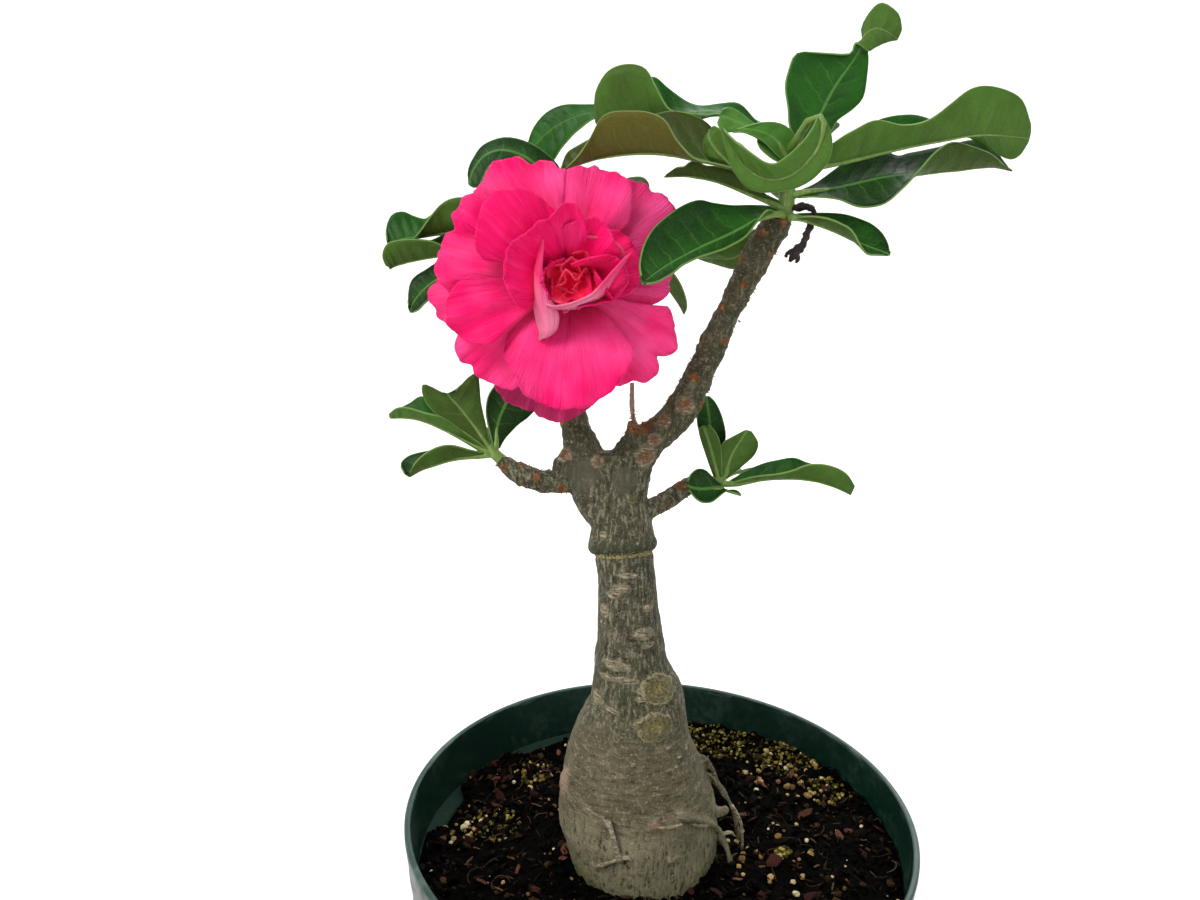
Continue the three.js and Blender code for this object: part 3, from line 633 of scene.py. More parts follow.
def between(lines, part, t):
    """Smooth curve through one part of the rows."""
    x = clamp(t) * (len(lines) - 1)
    i = min(int(x), len(lines) - 2)
    f = x - i
    a, b, c, d = [lines[clamp(k, 0, len(lines) - 1)][part] for k in (i - 1, i, i + 1, i + 2)]
    return (2 * b + (c - a) * f + (2 * a - 5 * b + 4 * c - d) * f * f + (3 * b - a - 3 * c + d) * f ** 3) / 2


def midrib(blade, t):
    """Point of the midrib, and the blade's own directions there."""
    if "rows" in blade:
        lines = blade["rows"]
        at, left, right = [between(lines, part, t) for part in range(3)]
        along = (between(lines, 0, t + 0.02) - between(lines, 0, t - 0.02)).normalized()
        side = (left - right).normalized()
        return at, along, side, along.cross(side).normalized(), left, right
    steps = 40
    if "path" not in blade:
        at = Vector(blade["base"])
        blade["path"] = [at.copy()]
        for i in range(steps + 4):
            at += heading(blade, (i + 0.5) / steps)[0] * blade["length"] / steps
            blade["path"].append(at.copy())
    x = clamp(t * steps, 0, steps + 3)
    i = int(x)
    return (blade["path"][i].lerp(blade["path"][i + 1], x - i), *heading(blade, t))


def puckered(place, face, blade, t, s, half):
    """The place lifted by the puckers between the side veins and by the blade's uneven rim."""
    seed = blade["seed"]
    ribs = math.sin(FULL_TURN * (t * blade["length"] / VEIN_STEP - abs(s) * half * 0.075))
    place += face * blade["pucker"] * ribs * 4 * abs(s) * (1 - abs(s)) * min(1, half / 6)
    uneven = waver(t * blade["length"] + seed * 37, s * 9, seed * 11, 7)
    place += face * blade["ruffle"] * uneven * s * s
    return place


def folded(blade, k, s, steps):
    """How far out and up a half of the blade lies at s across, as shares, k of the way to its tip's fold."""
    edge = 0 if s < 0 else 1
    fold = math.radians(mix(blade["fold"][edge], blade["tip"][edge], k))
    curl = math.radians(blade["curl"])
    out = lift = 0.0
    for i in range(steps):
        f = fold + curl * abs(s) * (i + 0.5) / steps
        out += math.cos(f) / steps
        lift += math.sin(f) / steps
    return out, lift


def traced_point(blade, t, s, row):
    """Point of a traced blade, t along and s from -1 to 1 across, and its half width there."""
    at, along, _, face, left, right = row
    reach = (left if s >= 0 else right) - at
    half = reach.length
    own = along.cross(reach) * (1 if s >= 0 else -1)
    if own.length > 1e-6:
        own.normalize()
        face = (face * 0.35 + own * 0.65).normalized() if face.dot(own) > -0.3 else own
    a = abs(s)
    place = at + reach * a
    place -= face * blade["belly"] * half * 4 * a * (1 - a) * 0.5
    return puckered(place, face, blade, t, s, half), half


def half_width(blade, t):
    lobe = max(math.sin(math.pi * t ** (math.log(0.5) / math.log(blade["wide"]))), 0)
    share = lobe ** (0.9 if t < blade["wide"] else blade["point"])
    return max(share * blade["width"] / 2, 0.9 * (1 - t) + 0.12)


def blade_point(blade, t, s, row):
    """Point of the blade, t along and s from -1 to 1 across, from its midrib row."""
    at, along, side, face = row
    half = half_width(blade, t)
    k = smooth((t - blade["bend_from"]) / (blade["bend_to"] - blade["bend_from"]))
    out, lift = [share * abs(s) for share in folded(blade, k, s, 8)]
    phase = FULL_TURN * (blade["waves"] * t + blade["phase"]) + (0 if s < 0 else 2)
    lift += blade["wave"] * s * s * math.sin(phase) * 2 / blade["width"]
    place = at + side * half * out * math.copysign(1, s) + face * half * lift
    place += along * blade["notch"] * abs(s) ** 1.5 * t ** 4
    place = puckered(place, face, blade, t, s, half)
    ragged = waver(t * blade["length"], blade["seed"] * 23, s * 3, 4)
    place += side * blade["ruffle"] * 0.7 * ragged * s ** 4
    return place


def add_blade(bm, blade, rows, columns, tone):
    """Bends a flat grid into the blade and notes each point's place on it."""
    start = len(bm.verts)
    bmesh.ops.create_grid(bm, x_segments=rows, y_segments=columns, size=1)
    bm.verts.ensure_lookup_table()
    place = bm.verts.layers.float_vector["blade"]
    tones = bm.verts.layers.float["tone"]
    reach = bm.verts.layers.float["reach"]
    lines = {}
    for v in bm.verts[start:]:
        u = clamp((v.co.x + 1) / 2)
        s = clamp(v.co.y, -1, 1)
        if "spread" in blade:
            t = u
            v.co, near, across, margin = petal_point(blade, u, s)
        else:
            traced_one = "rows" in blade
            t = u if traced_one else clamp(mix(u, (1 - math.cos(math.pi * u)) / 2, 0.6))
            key = round(u, 4)
            if key not in lines:
                lines[key] = midrib(blade, t)
            if traced_one:
                v.co, half = traced_point(blade, t, s, lines[key])
            else:
                half = half_width(blade, t)
                v.co = blade_point(blade, t, s, lines[key])
            near, across, margin = t * blade["length"], s * half, (1 - abs(s)) * half
        v[place] = (near, across, margin)
        v[tones] = tone
        v[reach] = t


def with_blade_layers(bm):
    """Room on each point for its place on a blade, the blade's tone and how far out it lies."""
    bm.verts.layers.float_vector.new("blade")
    bm.verts.layers.float.new("tone")
    bm.verts.layers.float.new("reach")
    return bm


def blades_piece(blades, name, finishes, replaces):
    """All blades of one shoot in one piece, upper side and underside in their own finishes."""
    bm = with_blade_layers(bmesh.new())
    for k, blade in enumerate(blades):
        blade["seed"] = k * 0.73 + blade["turn"] * 0.011
        rows = int(clamp(blade["length"] / 1.5, 14, 64))
        columns = 2 * int(clamp(blade["width"] / 1.1 / 2, 3, 7))
        own_tone = (math.sin(k * 12.9898) * 43758.5453) % 1
        add_blade(bm, blade, rows, columns, blade.get("tone", own_tone))
    thicken(settle(bm, name, finishes, replaces), LEAF_THICK)


# ------------------------------------------------------------------ camera, floor and lamps
def place_camera():
    right, up, ahead = SIGHT
    data = bpy.data.cameras.new("studio camera")
    data.sensor_width = 36
    data.lens = 36 * FOCAL_PIXELS / PICTURE[0]
    data.clip_start = 0.01
    camera = linked("studio camera", data)
    turned = Matrix((right, up, -ahead)).transposed().to_4x4()
    camera.matrix_world = Matrix.Translation(EYE * MM) @ turned
    scene.camera = camera


def make_floor():
    """Pale studio floor whose far edge sweeps up all round."""
    bm = lathed([(0, 0), (500, 0), (1700, 0), (1950, 40), (2150, 160), (2300, 400), (2380, 800),
                 (2400, 1300)], 96, 0.01)
    bmesh.ops.recalc_face_normals(bm, faces=bm.faces)
    bmesh.ops.scale(bm, vec=(MM, MM, MM), verts=bm.verts)
    mesh = meshed(bm, "studio floor")
    mesh.shade_smooth()
    f = Finish("pale studio floor", Roughness=0.8)
    f.drive(Base_Color=f.blend(f.grain(60, 3), "f4f3f1", "f8f7f6"))
    mesh.materials.append(f.material)
    floor = linked("studio floor", mesh)


def lamp(name, at, aim, size, power, colour=(1, 1, 1)):
    data = bpy.data.lights.new(name, "AREA")
    data.size = size
    data.energy = power
    data.color = colour
    made = linked(name, data)
    made.location = at
    made.rotation_euler = (Vector(aim) - Vector(at)).to_track_quat("-Z", "Y").to_euler()


def light_studio():
    world = bpy.data.worlds.new("studio surround")
    world.use_nodes = True
    surround = world.node_tree.nodes["Background"].inputs
    surround["Color"].default_value = (0.95, 0.98, 1.0, 1)
    surround["Strength"].default_value = 0.42
    scene.world = world
    lamp("soft key lamp", (-0.8, -0.9, 1.35), (0, 0, 0.26), 0.8, 20, (1.0, 0.985, 0.96))
    lamp("fill lamp", (1.3, -0.7, 0.8), (0, 0, 0.25), 1.2, 3.5, (0.95, 0.98, 1.0))
    lamp("backdrop lamp", (0, 0.7, 1.7), (0, 2.4, 0.5), 1.8, 34)
    lamp("back lamp", (0.35, 1.3, 1.35), (0, 0, 0.35), 1.0, 11)
    scene.view_settings.view_transform = "Standard"


# ------------------------------------------------------------------ pot
def make_pot(finish):
    ledge = LEDGE_Z - 1
    profile = [
        (0, 0), (64, 0), (65, 0.8), (67.5, 0.8), (68.2, 0), (BASE_RADIUS, 1.4), (71.8, 12), (72.6, 12.4),
        (91.6, 119), (92, ledge - 2.8), (93.2, ledge - 2.2), (97.2, ledge - 1.5), (97.6, ledge - 1),
        (98.3, ledge + 8), (98.7, ledge + 8.4), (99.2, ledge + 18.6), (99.6, ledge + 19),
        (RIM_RADIUS - 0.3, POT_HEIGHT - 2.8), (RIM_RADIUS, POT_HEIGHT - 2.4), (RIM_RADIUS, POT_HEIGHT - 0.5),
        (RIM_RADIUS - 0.6, POT_HEIGHT), (RIM_RADIUS - 1.8, POT_HEIGHT), (RIM_RADIUS - 2.3, POT_HEIGHT - 0.5),
        (LEDGE_OUTER + 0.1, LEDGE_Z + 1), (LEDGE_OUTER - 0.8, LEDGE_Z), (LEDGE_INNER + 0.7, LEDGE_Z - 1.6),
        (LEDGE_INNER, LEDGE_Z - 2.3), (BASE_RADIUS - WALL - 1, POT_FLOOR + 1.5), (66, POT_FLOOR),
        (0, POT_FLOOR),
    ]
    bm = lathed(profile, 180, 0.001)
    bmesh.ops.recalc_face_normals(bm, faces=bm.faces)
    drills = bmesh.new()
    for k in range(DRAIN_HOLES):
        angle = FULL_TURN * (k + 0.5) / DRAIN_HOLES
        middle = Matrix.Translation((DRAIN_CIRCLE * math.cos(angle), DRAIN_CIRCLE * math.sin(angle), 1))
        bmesh.ops.create_cone(drills, cap_ends=True, segments=32, radius1=DRAIN_RADIUS,
                              radius2=DRAIN_RADIUS, depth=8, matrix=middle)
    cutter = linked("drills", meshed(drills, "drills"))
    bm = modified(bm, "BOOLEAN", operation="DIFFERENCE", object=cutter, solver="EXACT")
    drop(cutter)
    piece = settle(bm, "nursery_pot", [finish], ["pot"])
    soft_edges = piece.modifiers.new("soft edges", "BEVEL")
    soft_edges.width = 0.25 * MM
    soft_edges.segments = 2
    soft_edges.limit_method = "ANGLE"
    soft_edges.angle_limit = math.radians(35)
    return piece


# ------------------------------------------------------------------ trunk
# height, middle x and radius of the swollen base and the trunk up to the fork; like the branches, the
# roots and the marks below, worked out from places of the picture by way of its viewpoint, and rounded
TRUNK = [
    (106, -4, 25.5), (121, -4.4, 28.2), (132, -5.2, 29.2), (142, -6.6, 30), (152, -8.5, 30.8),
    (159, -9.6, 30.1), (165.5, -10.2, 28.2), (174.4, -10.6, 25.4), (183.2, -10.4, 22.6), (192, -9.9, 19.9),
    (198.9, -10.1, 18.3), (204, -11.3, 16.5), (212.4, -12.9, 14), (220.7, -13.2, 12.9), (233, -14.4, 11.4),
    (245.3, -15.2, 10.7), (251.9, -16.2, 10.7), (255.9, -16.5, 11), (258.3, -16.8, 11.8),
    (261.8, -17.5, 12.1), (265.7, -17.6, 11.4), (270.6, -18.8, 11.3), (275, -20.8, 12.6), (280.5, -23, 14),
    (286, -23.5, 11), (289, -23.5, 6),
]
BLOOM_BRANCH = (
    [(-21, -6, 264), (-27.5, -6, 281), (-33, -6, 295), (-36, -5, 304), (-37.5, -3.5, 314), (-39.4, 0, 330),
     (-40.8, 1.6, 342), (-41.2, 2, 349), (-41.3, 2, 350.6)],
    [6, 9, 6.6, 4.9, 4.5, 4, 3.8, 3.7, 2.6])
LONG_BRANCH = (
    [(-17, -6, 266), (-14.8, -6, 284), (-9.8, -6, 297), (0, -6, 307.3), (6.1, -6, 319), (12.8, -6, 335),
     (18, -6, 348), (23, -6, 359.2), (28.1, -6, 370), (31.6, -6, 376.4), (32.9, -6, 378.6)],
    [8, 6.8, 6.2, 6, 5.4, 4.8, 4.3, 4.9, 5.3, 4.9, 3.6])
SHOULDER = ([(-36, -7, 284), (-38.2, -8.6, 289.6), (-38.6, -8.8, 292)], [5.6, 5.4, 4.6])
CROTCH = ([(-22, -6.5, 276), (-22.7, -7, 287), (-22.8, -7, 294.4)], [9, 6.6, 3.6])
LEFT_BRANCH = (
    [(-26, -7, 282), (-33.4, -7, 283.2), (-43, -7, 282.3), (-48.5, -7, 282.7), (-53.7, -7, 284.3),
     (-59.4, -7, 286.8), (-63, -7, 290)],
    [5, 4.5, 4.3, 4.3, 4.1, 3.5, 2.6])
RIGHT_BRANCH = (
    [(-15, -6, 268), (-7.5, -5, 272.7), (-0.6, -1, 276.1), (6.2, 3, 280.2), (12.6, 4.5, 282.4)],
    [3.4, 3.3, 3.4, 3.3, 2.8])
STUB = ([(-19, -6, 276), (-16.2, -7, 292), (-13.4, -7.5, 300), (-12.3, -7.6, 304.4)], [8, 6.6, 4.8, 4.3])
ROOTS = [
    ([(14, -2, 171), (17.2, -1, 169.8), (20.6, -1, 166.2), (23, -1, 160.7), (26, -1, 155.7),
      (28.6, -1, 151.5), (31.5, 0, 143), (33, 1, 134), (33.5, 1.5, 126)],
     [1.6, 1.9, 1.3, 1.1, 1.4, 0.9, 1.0, 0.8, 0.8]),
    ([(7, -27.2, 164.9), (9.4, -29.6, 164), (14.8, -25.6, 160), (19.6, -20.3, 155.3), (22.8, -16, 150.5),
      (25.4, -14.5, 144.8), (28, -14.2, 138.8), (29.4, -14, 132.7), (30, -14, 126)],
     [1.2, 1.6, 1.2, 1.6, 1.2, 1.6, 1.0, 1.1, 0.8]),
    ([(19, -8, 152), (24.4, -10, 153.4), (27, -10.4, 155.4)], [2.2, 2.2, 1.5]),
]
FRONT_ROOT = ([(-20.2, -33.2, 163.6), (-17.8, -34.8, 162.4), (-16, -36.3, 158.9), (-14.3, -37, 153.3),
               (-13, -37, 149.3), (-12.4, -36.2, 147.6)], [0.6, 1.2, 1.0, 1.1, 1.3, 0.7])
# marks on the caudex and the trunk: degrees round it (-90 is the front), height, half width, half height
# and kind; those from 38 to 153 degrees are round the back, where the picture shows nothing
MARKS = [
    (-66, 195.6, 7.0, 5.3, "scar"), (-48, 208.1, 7.2, 4.9, "scar"), (-78, 205.5, 1.8, 0.9, "knot"),
    (-84, 251, 3.8, 1.2, "knot"), (-95, 246.3, 3.4, 1.4, "knot"), (-115, 243.1, 2.8, 1.4, "knot"),
    (-137, 235.8, 3.0, 2.6, "knot"), (-143, 231, 1.2, 1.1, "bump"), (-44, 237.9, 2.4, 1.4, "knot"),
    (-57, 228.6, 4.4, 2.3, "knot"), (-53, 224.3, 3.0, 1.1, "knot"), (-109, 216.6, 5.2, 2.0, "knot"),
    (-126, 211.3, 4.4, 1.3, "knot"), (-93, 211.6, 4.0, 1.3, "knot"), (-149, 201.4, 3.0, 2.6, "knot"),
    (-121, 199.7, 3.8, 0.9, "dash"), (-90, 196.6, 1.1, 1.0, "bump"), (-95, 194.7, 1.2, 0.9, "bump"),
    (-132, 180.2, 1.4, 1.3, "bump"), (-88, 182.8, 1.4, 1.2, "bump"), (-53, 187.2, 1.7, 1.1, "bump"),
    (-40, 182.7, 1.6, 1.0, "bump"), (-28, 183.6, 1.8, 1.0, "bump"), (-47, 180.1, 1.3, 1.0, "bump"),
    (-72, 162, 3.4, 2.2, "bud"), (-64, 147.2, 2.4, 1.6, "bud"), (-120, 141.9, 2.4, 1.6, "bud"),
    (-96, 149.6, 2.0, 1.4, "bud"), (-158, 166, 4.6, 5.4, "bulge"), (-124, 265.6, 1.5, 1.3, "knot"),
    (-60, 263.5, 1.0, 0.9, "bump"), (-41, 279.5, 2.6, 2.0, "scar"), (-100, 287, 1.3, 1.1, "bump"),
    (94, 176, 4.4, 3.4, "knot"), (52, 205, 5.2, 4.0, "scar"), (111, 226, 3.0, 1.8, "knot"),
    (58, 238, 2.6, 1.6, "knot"), (38, 186, 2.2, 1.6, "knot"), (134, 182, 2.0, 1.6, "bud"),
    (150, 214, 2.8, 1.8, "knot"), (40, 160, 2.4, 1.8, "bud"), (153, 150, 2.0, 1.6, "bump"),
]
# rusty burls near the fork and smooth grey patches under it: x, y, z, size
BURLS = [(-9.4, -12.6, 294.4, 4.4), (-6.6, -11.4, 300.6, 2.6), (-38.5, -11, 293.5, 3.2),
         (3.4, -11, 313.4, 3.6), (-3.7, -11, 307.6, 2.8), (-26.4, -13, 292.4, 3.0)]
CALM_PATCHES = [(-33, -15, 286.5, 6.5), (-16.5, -14, 285.5, 5.0)]
BARK_READS = ("scar", "knot", "rust", "lichen", "flush", "calm")
FORK_Z = 268
STUB_TOP = (-12.6, -7.6, 301.5)
BARK_VOXEL = 0.72


def along_run(run, share):
    """Point, direction and radius at a share of a branch's length."""
    path, radii = run
    at = share * (len(path) - 1)
    i = min(int(at), len(path) - 2)
    a, b = Vector(path[i]), Vector(path[i + 1])
    return a.lerp(b, at - i), (b - a).normalized(), mix(radii[i], radii[i + 1], at - i)


def leaf_scars():
    """Places of the old leaf scars that wind up each branch: centre, outward direction, size."""
    random.seed(7)
    places = []
    for run, count, first, last in [(LONG_BRANCH, 22, 0.3, 0.97), (BLOOM_BRANCH, 12, 0.32, 0.95),
                                    (LEFT_BRANCH, 9, 0.25, 0.95), (RIGHT_BRANCH, 7, 0.35, 0.95)]:
        for k in range(count):
            share = mix(first, last, (k + random.random() * 0.6) / count)
            at, ahead, radius = along_run(run, share)
            flat = ahead.orthogonal().normalized()
            out = Matrix.Rotation(math.radians(GOLDEN_ANGLE * k + 20), 3, ahead) @ flat
            places.append((at + out * radius, out, ahead, random.uniform(1.4, 2.9)))
    return places


def trunk_level(z):
    """Middle x and radius of the trunk at a height."""
    for (z0, x0, r0), (z1, x1, r1) in zip(TRUNK, TRUNK[1:]):
        if z <= z1:
            k = clamp((z - z0) / (z1 - z0))
            return mix(x0, x1, k), mix(r0, r1, k)
    return TRUNK[-1][1:]


def mark_lift(kind, d, u, v):
    """Height in millimetres at distance d from a mark's middle, in its own sizes."""
    if kind == "scar":
        rings = 0.22 * math.cos(d * 13 + 2 * waver(u, v, 0, 3)) * smooth(1.2 - d)
        return rings + 0.75 * smooth((1.12 - d) * 3) - 0.6 * smooth((0.32 - d) * 4)
    if kind == "knot":
        folds = 0.35 * math.sin(v * 4.2 + 2.5 * waver(u, v, 0, 2.2))
        return (0.7 + folds) * math.exp(-(d / 0.85) ** 2)
    if kind == "dash":
        return 0.4 * smooth((1.1 - d) * 2) * (1 + waver(u, v, 0, 0.8))
    if kind == "bump":
        return 0.9 * math.exp(-(d / 0.8) ** 2)
    if kind == "bud":
        return 1.3 * math.exp(-(d / 0.7) ** 2)
    return 1.8 * math.exp(-(d / 0.85) ** 2)


def make_trunk(finish):
    bm = bmesh.new()
    body = bmesh.new()
    pour(body, tube([(x, TRUNK_Y, z) for z, x, r in TRUNK], [r for z, x, r in TRUNK], 10, 4))
    for v in body.verts:
        flat = mix(1, 0.72, smooth((v.co.z - 262) / 22))
        v.co.y = TRUNK_Y + (v.co.y - TRUNK_Y) * flat
        x, _ = trunk_level(v.co.z)
        angle = math.atan2(v.co.y - TRUNK_Y, v.co.x - x)
        swell = 0.018 * math.sin(3 * angle + v.co.z / 17) + 0.014 * math.sin(5 * angle - v.co.z / 9)
        swell *= smooth((v.co.z - 133) / 12)
        v.co.x = x + (v.co.x - x) * (1 + swell)
        v.co.y = TRUNK_Y + (v.co.y - TRUNK_Y) * (1 + swell)
    pour(bm, meshed(body, "trunk body"))
    for run in [BLOOM_BRANCH, LONG_BRANCH, CROTCH, SHOULDER, STUB, LEFT_BRANCH, RIGHT_BRANCH, *ROOTS]:
        pour(bm, tube(*run, 5, 4))
    shoulder = Matrix.LocRotScale(Vector((-36.5, -7.5, 289.5)), None, Vector((5.4, 4.8, 6)))
    bmesh.ops.create_icosphere(bm, subdivisions=3, radius=1, matrix=shoulder)
    random.seed(3)
    for k in range(9):
        x = -16 + k
        y = -7.5 + random.uniform(-2.6, 2.6)
        top = (x + random.uniform(-0.4, 0.4), y + random.uniform(-0.4, 0.4), random.uniform(304.2, 306.8))
        pour(bm, tube([(x, y, 301), top], [1.3, 0.6], 2, 1))
    bmesh.ops.remove_doubles(bm, verts=bm.verts, dist=1e-4)
    bmesh.ops.recalc_face_normals(bm, faces=bm.faces)
    bm = modified(bm, "REMESH", mode="VOXEL", voxel_size=BARK_VOXEL, adaptivity=0.0)
    for _ in range(3):
        bmesh.ops.smooth_vert(bm, verts=bm.verts, factor=0.5,
                              use_axis_x=True, use_axis_y=True, use_axis_z=True)
    bm.normal_update()
    layers = {name: bm.verts.layers.float.new(name) for name in BARK_READS}
    scars = leaf_scars()
    for v in bm.verts:
        p = v.co.copy()
        n = v.normal.copy()
        x, _ = trunk_level(p.z)
        angle = math.atan2(p.y - TRUNK_Y, p.x - x)
        limb = smooth((p.z - FORK_Z) / 16)
        rust = flush = calm = 0.0
        scar = knot = 2.0
        push = 0.45 * waver(p.x, p.y, p.z, 9) * smooth((p.z - 128) / 10) + 0.16 * waver(p.x, p.y, p.z, 2.2)
        push += 0.14 * waver(p.x * 2.6, p.y * 2.6, p.z, 2.4) * (1 - limb)
        # graft: a swollen collar over a pinched ring
        seam = p.z - GRAFT_Z - 1.3 * math.cos(angle) + 2.4 * math.sin(angle)
        seam += 0.7 * waver(p.x, p.y, 0, 5)
        push -= 0.7 * math.exp(-(seam + 0.2) ** 2) * (1 - limb)
        push += (0.7 + 0.4 * waver(p.x, p.y, p.z, 4)) * math.exp(-((seam - 3.2) / 2) ** 2) * (1 - limb)
        # young branches: close level rings and lumps
        level_rings = 0.1 * math.sin(p.z * 2.1 + 3 * waver(p.x, p.y, p.z, 4))
        push += limb * (level_rings + 0.34 * waver(p.x, p.y, p.z, 1.7) + 0.5 * waver(p.x, p.y, p.z, 4.5))
        for turn, mz, w, h, kind in MARKS:
            v_off = p.z - mz
            if abs(v_off) > 2 * h + 2 or limb > 0.9:
                continue
            _, reach = trunk_level(mz)
            u_off = (angle - math.radians(turn) + math.pi) % FULL_TURN - math.pi
            u_off *= reach
            wander = 1 + 0.22 * waver(u_off, v_off, mz, 2.5)
            d = math.hypot(u_off / w, v_off / h) * wander
            if d < 2:
                push += mark_lift(kind, d, u_off, v_off)
                if kind == "scar":
                    scar = min(scar, d)
                elif kind in ("knot", "dash"):
                    knot = min(knot, d)
                elif kind == "bump":
                    knot = min(knot, d + 0.35)
                elif kind == "bud":
                    rust = max(rust, smooth((0.6 - d) * 3))
                    flush = max(flush, 0.7 * smooth(1.3 - d))
                else:
                    flush = max(flush, smooth((1.3 - d) * 1.6))
        if limb > 0:
            for at, out, ahead, size in scars:
                away = p - at
                if away.length_squared > 9 * size * size or away.dot(out) < -size:
                    continue
                along = away.dot(ahead) / (size * 0.75)
                across = (away - ahead * away.dot(ahead)).length / size
                d = math.hypot(along, across)
                push += limb * (0.45 * math.exp(-((d - 0.85) / 0.3) ** 2) - 0.25 * math.exp(-(d / 0.5) ** 2))
                push += limb * 0.5 * math.exp(-((along - 1.3) / 0.5) ** 2 - (across / 0.5) ** 2)
                rust = max(rust, limb * smooth((1.15 - d) * 2.5))
        for bx, by, bz, size in BURLS:
            d = math.dist(p, (bx, by, bz)) / size
            if d < 1.8:
                push += 0.9 * math.exp(-(d / 0.9) ** 2) + 0.22 * math.cos(d * 12) * smooth(1.5 - d)
                knot = min(knot, d + 0.1)
                rust = max(rust, 0.8 * smooth((0.9 - d) * 2))
        for bx, by, bz, size in CALM_PATCHES:
            d = math.dist(p, (bx, by, bz)) / size + 0.3 * waver(p.x, p.y, p.z, 5)
            calm = max(calm, smooth((1.05 - d) * 4))
        from_stub = math.hypot(p.x - STUB_TOP[0], p.y - STUB_TOP[1])
        torn = smooth((p.z - STUB_TOP[2]) / 2) * smooth((6 - from_stub) / 2)
        rust = max(rust, torn)
        push += torn * 0.5 * waver(p.x, p.y, p.z, 0.9)
        v[layers["scar"]] = scar
        v[layers["knot"]] = knot
        v[layers["rust"]] = rust
        v[layers["flush"]] = flush
        v[layers["calm"]] = calm
        low = smooth((141 - p.z) / 7)
        sides = smooth((abs(math.cos(angle)) - 0.35) * 2)
        v[layers["lichen"]] = low * (0.15 + 0.85 * sides)
        v.co = p + n * push
    settle(bm, "caudex_and_branches", [finish], ["trunk_and_branches"])


def make_rootlets(finish):
    """Thin surface roots on the swollen base, besides the thicker ones that are part of its body."""
    bm = tubes([
        FRONT_ROOT,
        ([(-12.8, -36.8, 149.4), (-16.6, -35.9, 146.8), (-21.6, -33.2, 142.6)], [0.9, 0.7, 0.9]),
        ([(-12.6, -36.8, 149.6), (-10.4, -37, 150.2), (-8.4, -36.9, 149)], [0.9, 0.9, 0.4]),
        ([(-20, -33.4, 163.4), (-23.4, -31.6, 163.8), (-27.4, -28.6, 164.4)], [0.6, 0.4, 0.2]),
        ([(12, -27.6, 159.6), (16.2, -25.2, 157.2), (20, -20.6, 155.2)], [0.4, 0.8, 0.6]),
        ([(25.4, -14.5, 147), (28.6, -14, 147.4), (30.4, -14, 146)], [0.9, 0.6, 0.2]),
        ([(18, -1.6, 165), (21.4, -1.6, 162.6), (23.6, -1, 158.4)], [0.5, 0.6, 0.4]),
        ([(29.2, -1, 150.5), (32.6, -3, 146), (34, -4, 138), (34, -4, 130)], [0.9, 0.7, 0.6, 0.5]),
        ([(-1, -36.4, 163), (5, -35, 162.6), (9, -32.2, 162.4)], [0.3, 0.7, 0.4]),
    ], 3, 4)
    roughen(bm, 0.22, 1.3)
    layers = {name: bm.verts.layers.float.new(name) for name in BARK_READS}
    for v in bm.verts:
        v[layers["scar"]] = 2.0
        v[layers["knot"]] = 0.8
    return settle(bm, "surface_rootlets", [finish])


def make_bristles(finish):
    """Short stiff hairs of torn bark on the young branches and the sawn stub."""
    random.seed(11)
    bm = bmesh.new()
    for run, count, first in [(LONG_BRANCH, 90, 0.25), (BLOOM_BRANCH, 34, 0.3), (LEFT_BRANCH, 34, 0.2),
                              (RIGHT_BRANCH, 26, 0.3), (STUB, 16, 0.75)]:
        for _ in range(count):
            at, ahead, radius = along_run(run, random.uniform(first, 0.98))
            spun = Matrix.Rotation(random.uniform(0, FULL_TURN), 3, ahead)
            flat = spun @ ahead.orthogonal().normalized()
            lean = (flat + ahead * random.uniform(-0.5, 0.7)).normalized()
            size = random.uniform(0.7, 1.7)
            turned = lean.to_track_quat("Z", "Y").to_matrix().to_4x4()
            middle = Matrix.Translation(at + flat * (radius - 0.1) + lean * size * 0.4) @ turned
            bmesh.ops.create_cone(bm, cap_ends=True, segments=4, radius1=0.22, radius2=0.05,
                                  depth=size, matrix=middle)
    return settle(bm, "bark_bristles", [finish], soft=False)


# ------------------------------------------------------------------ soil
SOIL_MIDDLE = 132.6
SOIL_EDGE = 129.2
SOIL_TILT = 6
SOIL_HIGH_SIDE = math.radians(20)


def soil_edge(angle):
    """Height of the filling at the wall, high on the right and low on the left."""
    return SOIL_EDGE + SOIL_TILT * math.cos(angle - SOIL_HIGH_SIDE)


def soil_level(x, y):
    r = math.hypot(x, y)
    rough = 0.7 * math.sin(x / 7 + y / 11) + 0.6 * math.sin(y / 6 - x / 13)
    angle = math.atan2(y, x)
    level = mix(SOIL_MIDDLE, soil_edge(angle), smooth(r / 90))
    brim = smooth((r - 84) / 6) * soil_cover(angle)
    level = mix(level, max(level, 127.4), brim)
    return level + rough * smooth((90 - r) / 20) + 0.9 * waver(x, y, 0, 9) + 0.5 * waver(x, y, 5, 3.5)


def soil_cover(angle):
    """1 where the filling hides the ledge, 0 in the two places where the ledge lies bare."""
    a = math.degrees(angle) % 360
    bare = max(smooth((a - first) / 4) * smooth((last - a) / 4) for first, last in ((111, 139), (159, 180)))
    return 1 - bare


def soil_reach(angle):
    """How far out the filling lies: to the wall over the ledge, or only to its inner edge."""
    return mix(LEDGE_INNER - 0.4, LEDGE_OUTER - 0.1, soil_cover(angle))


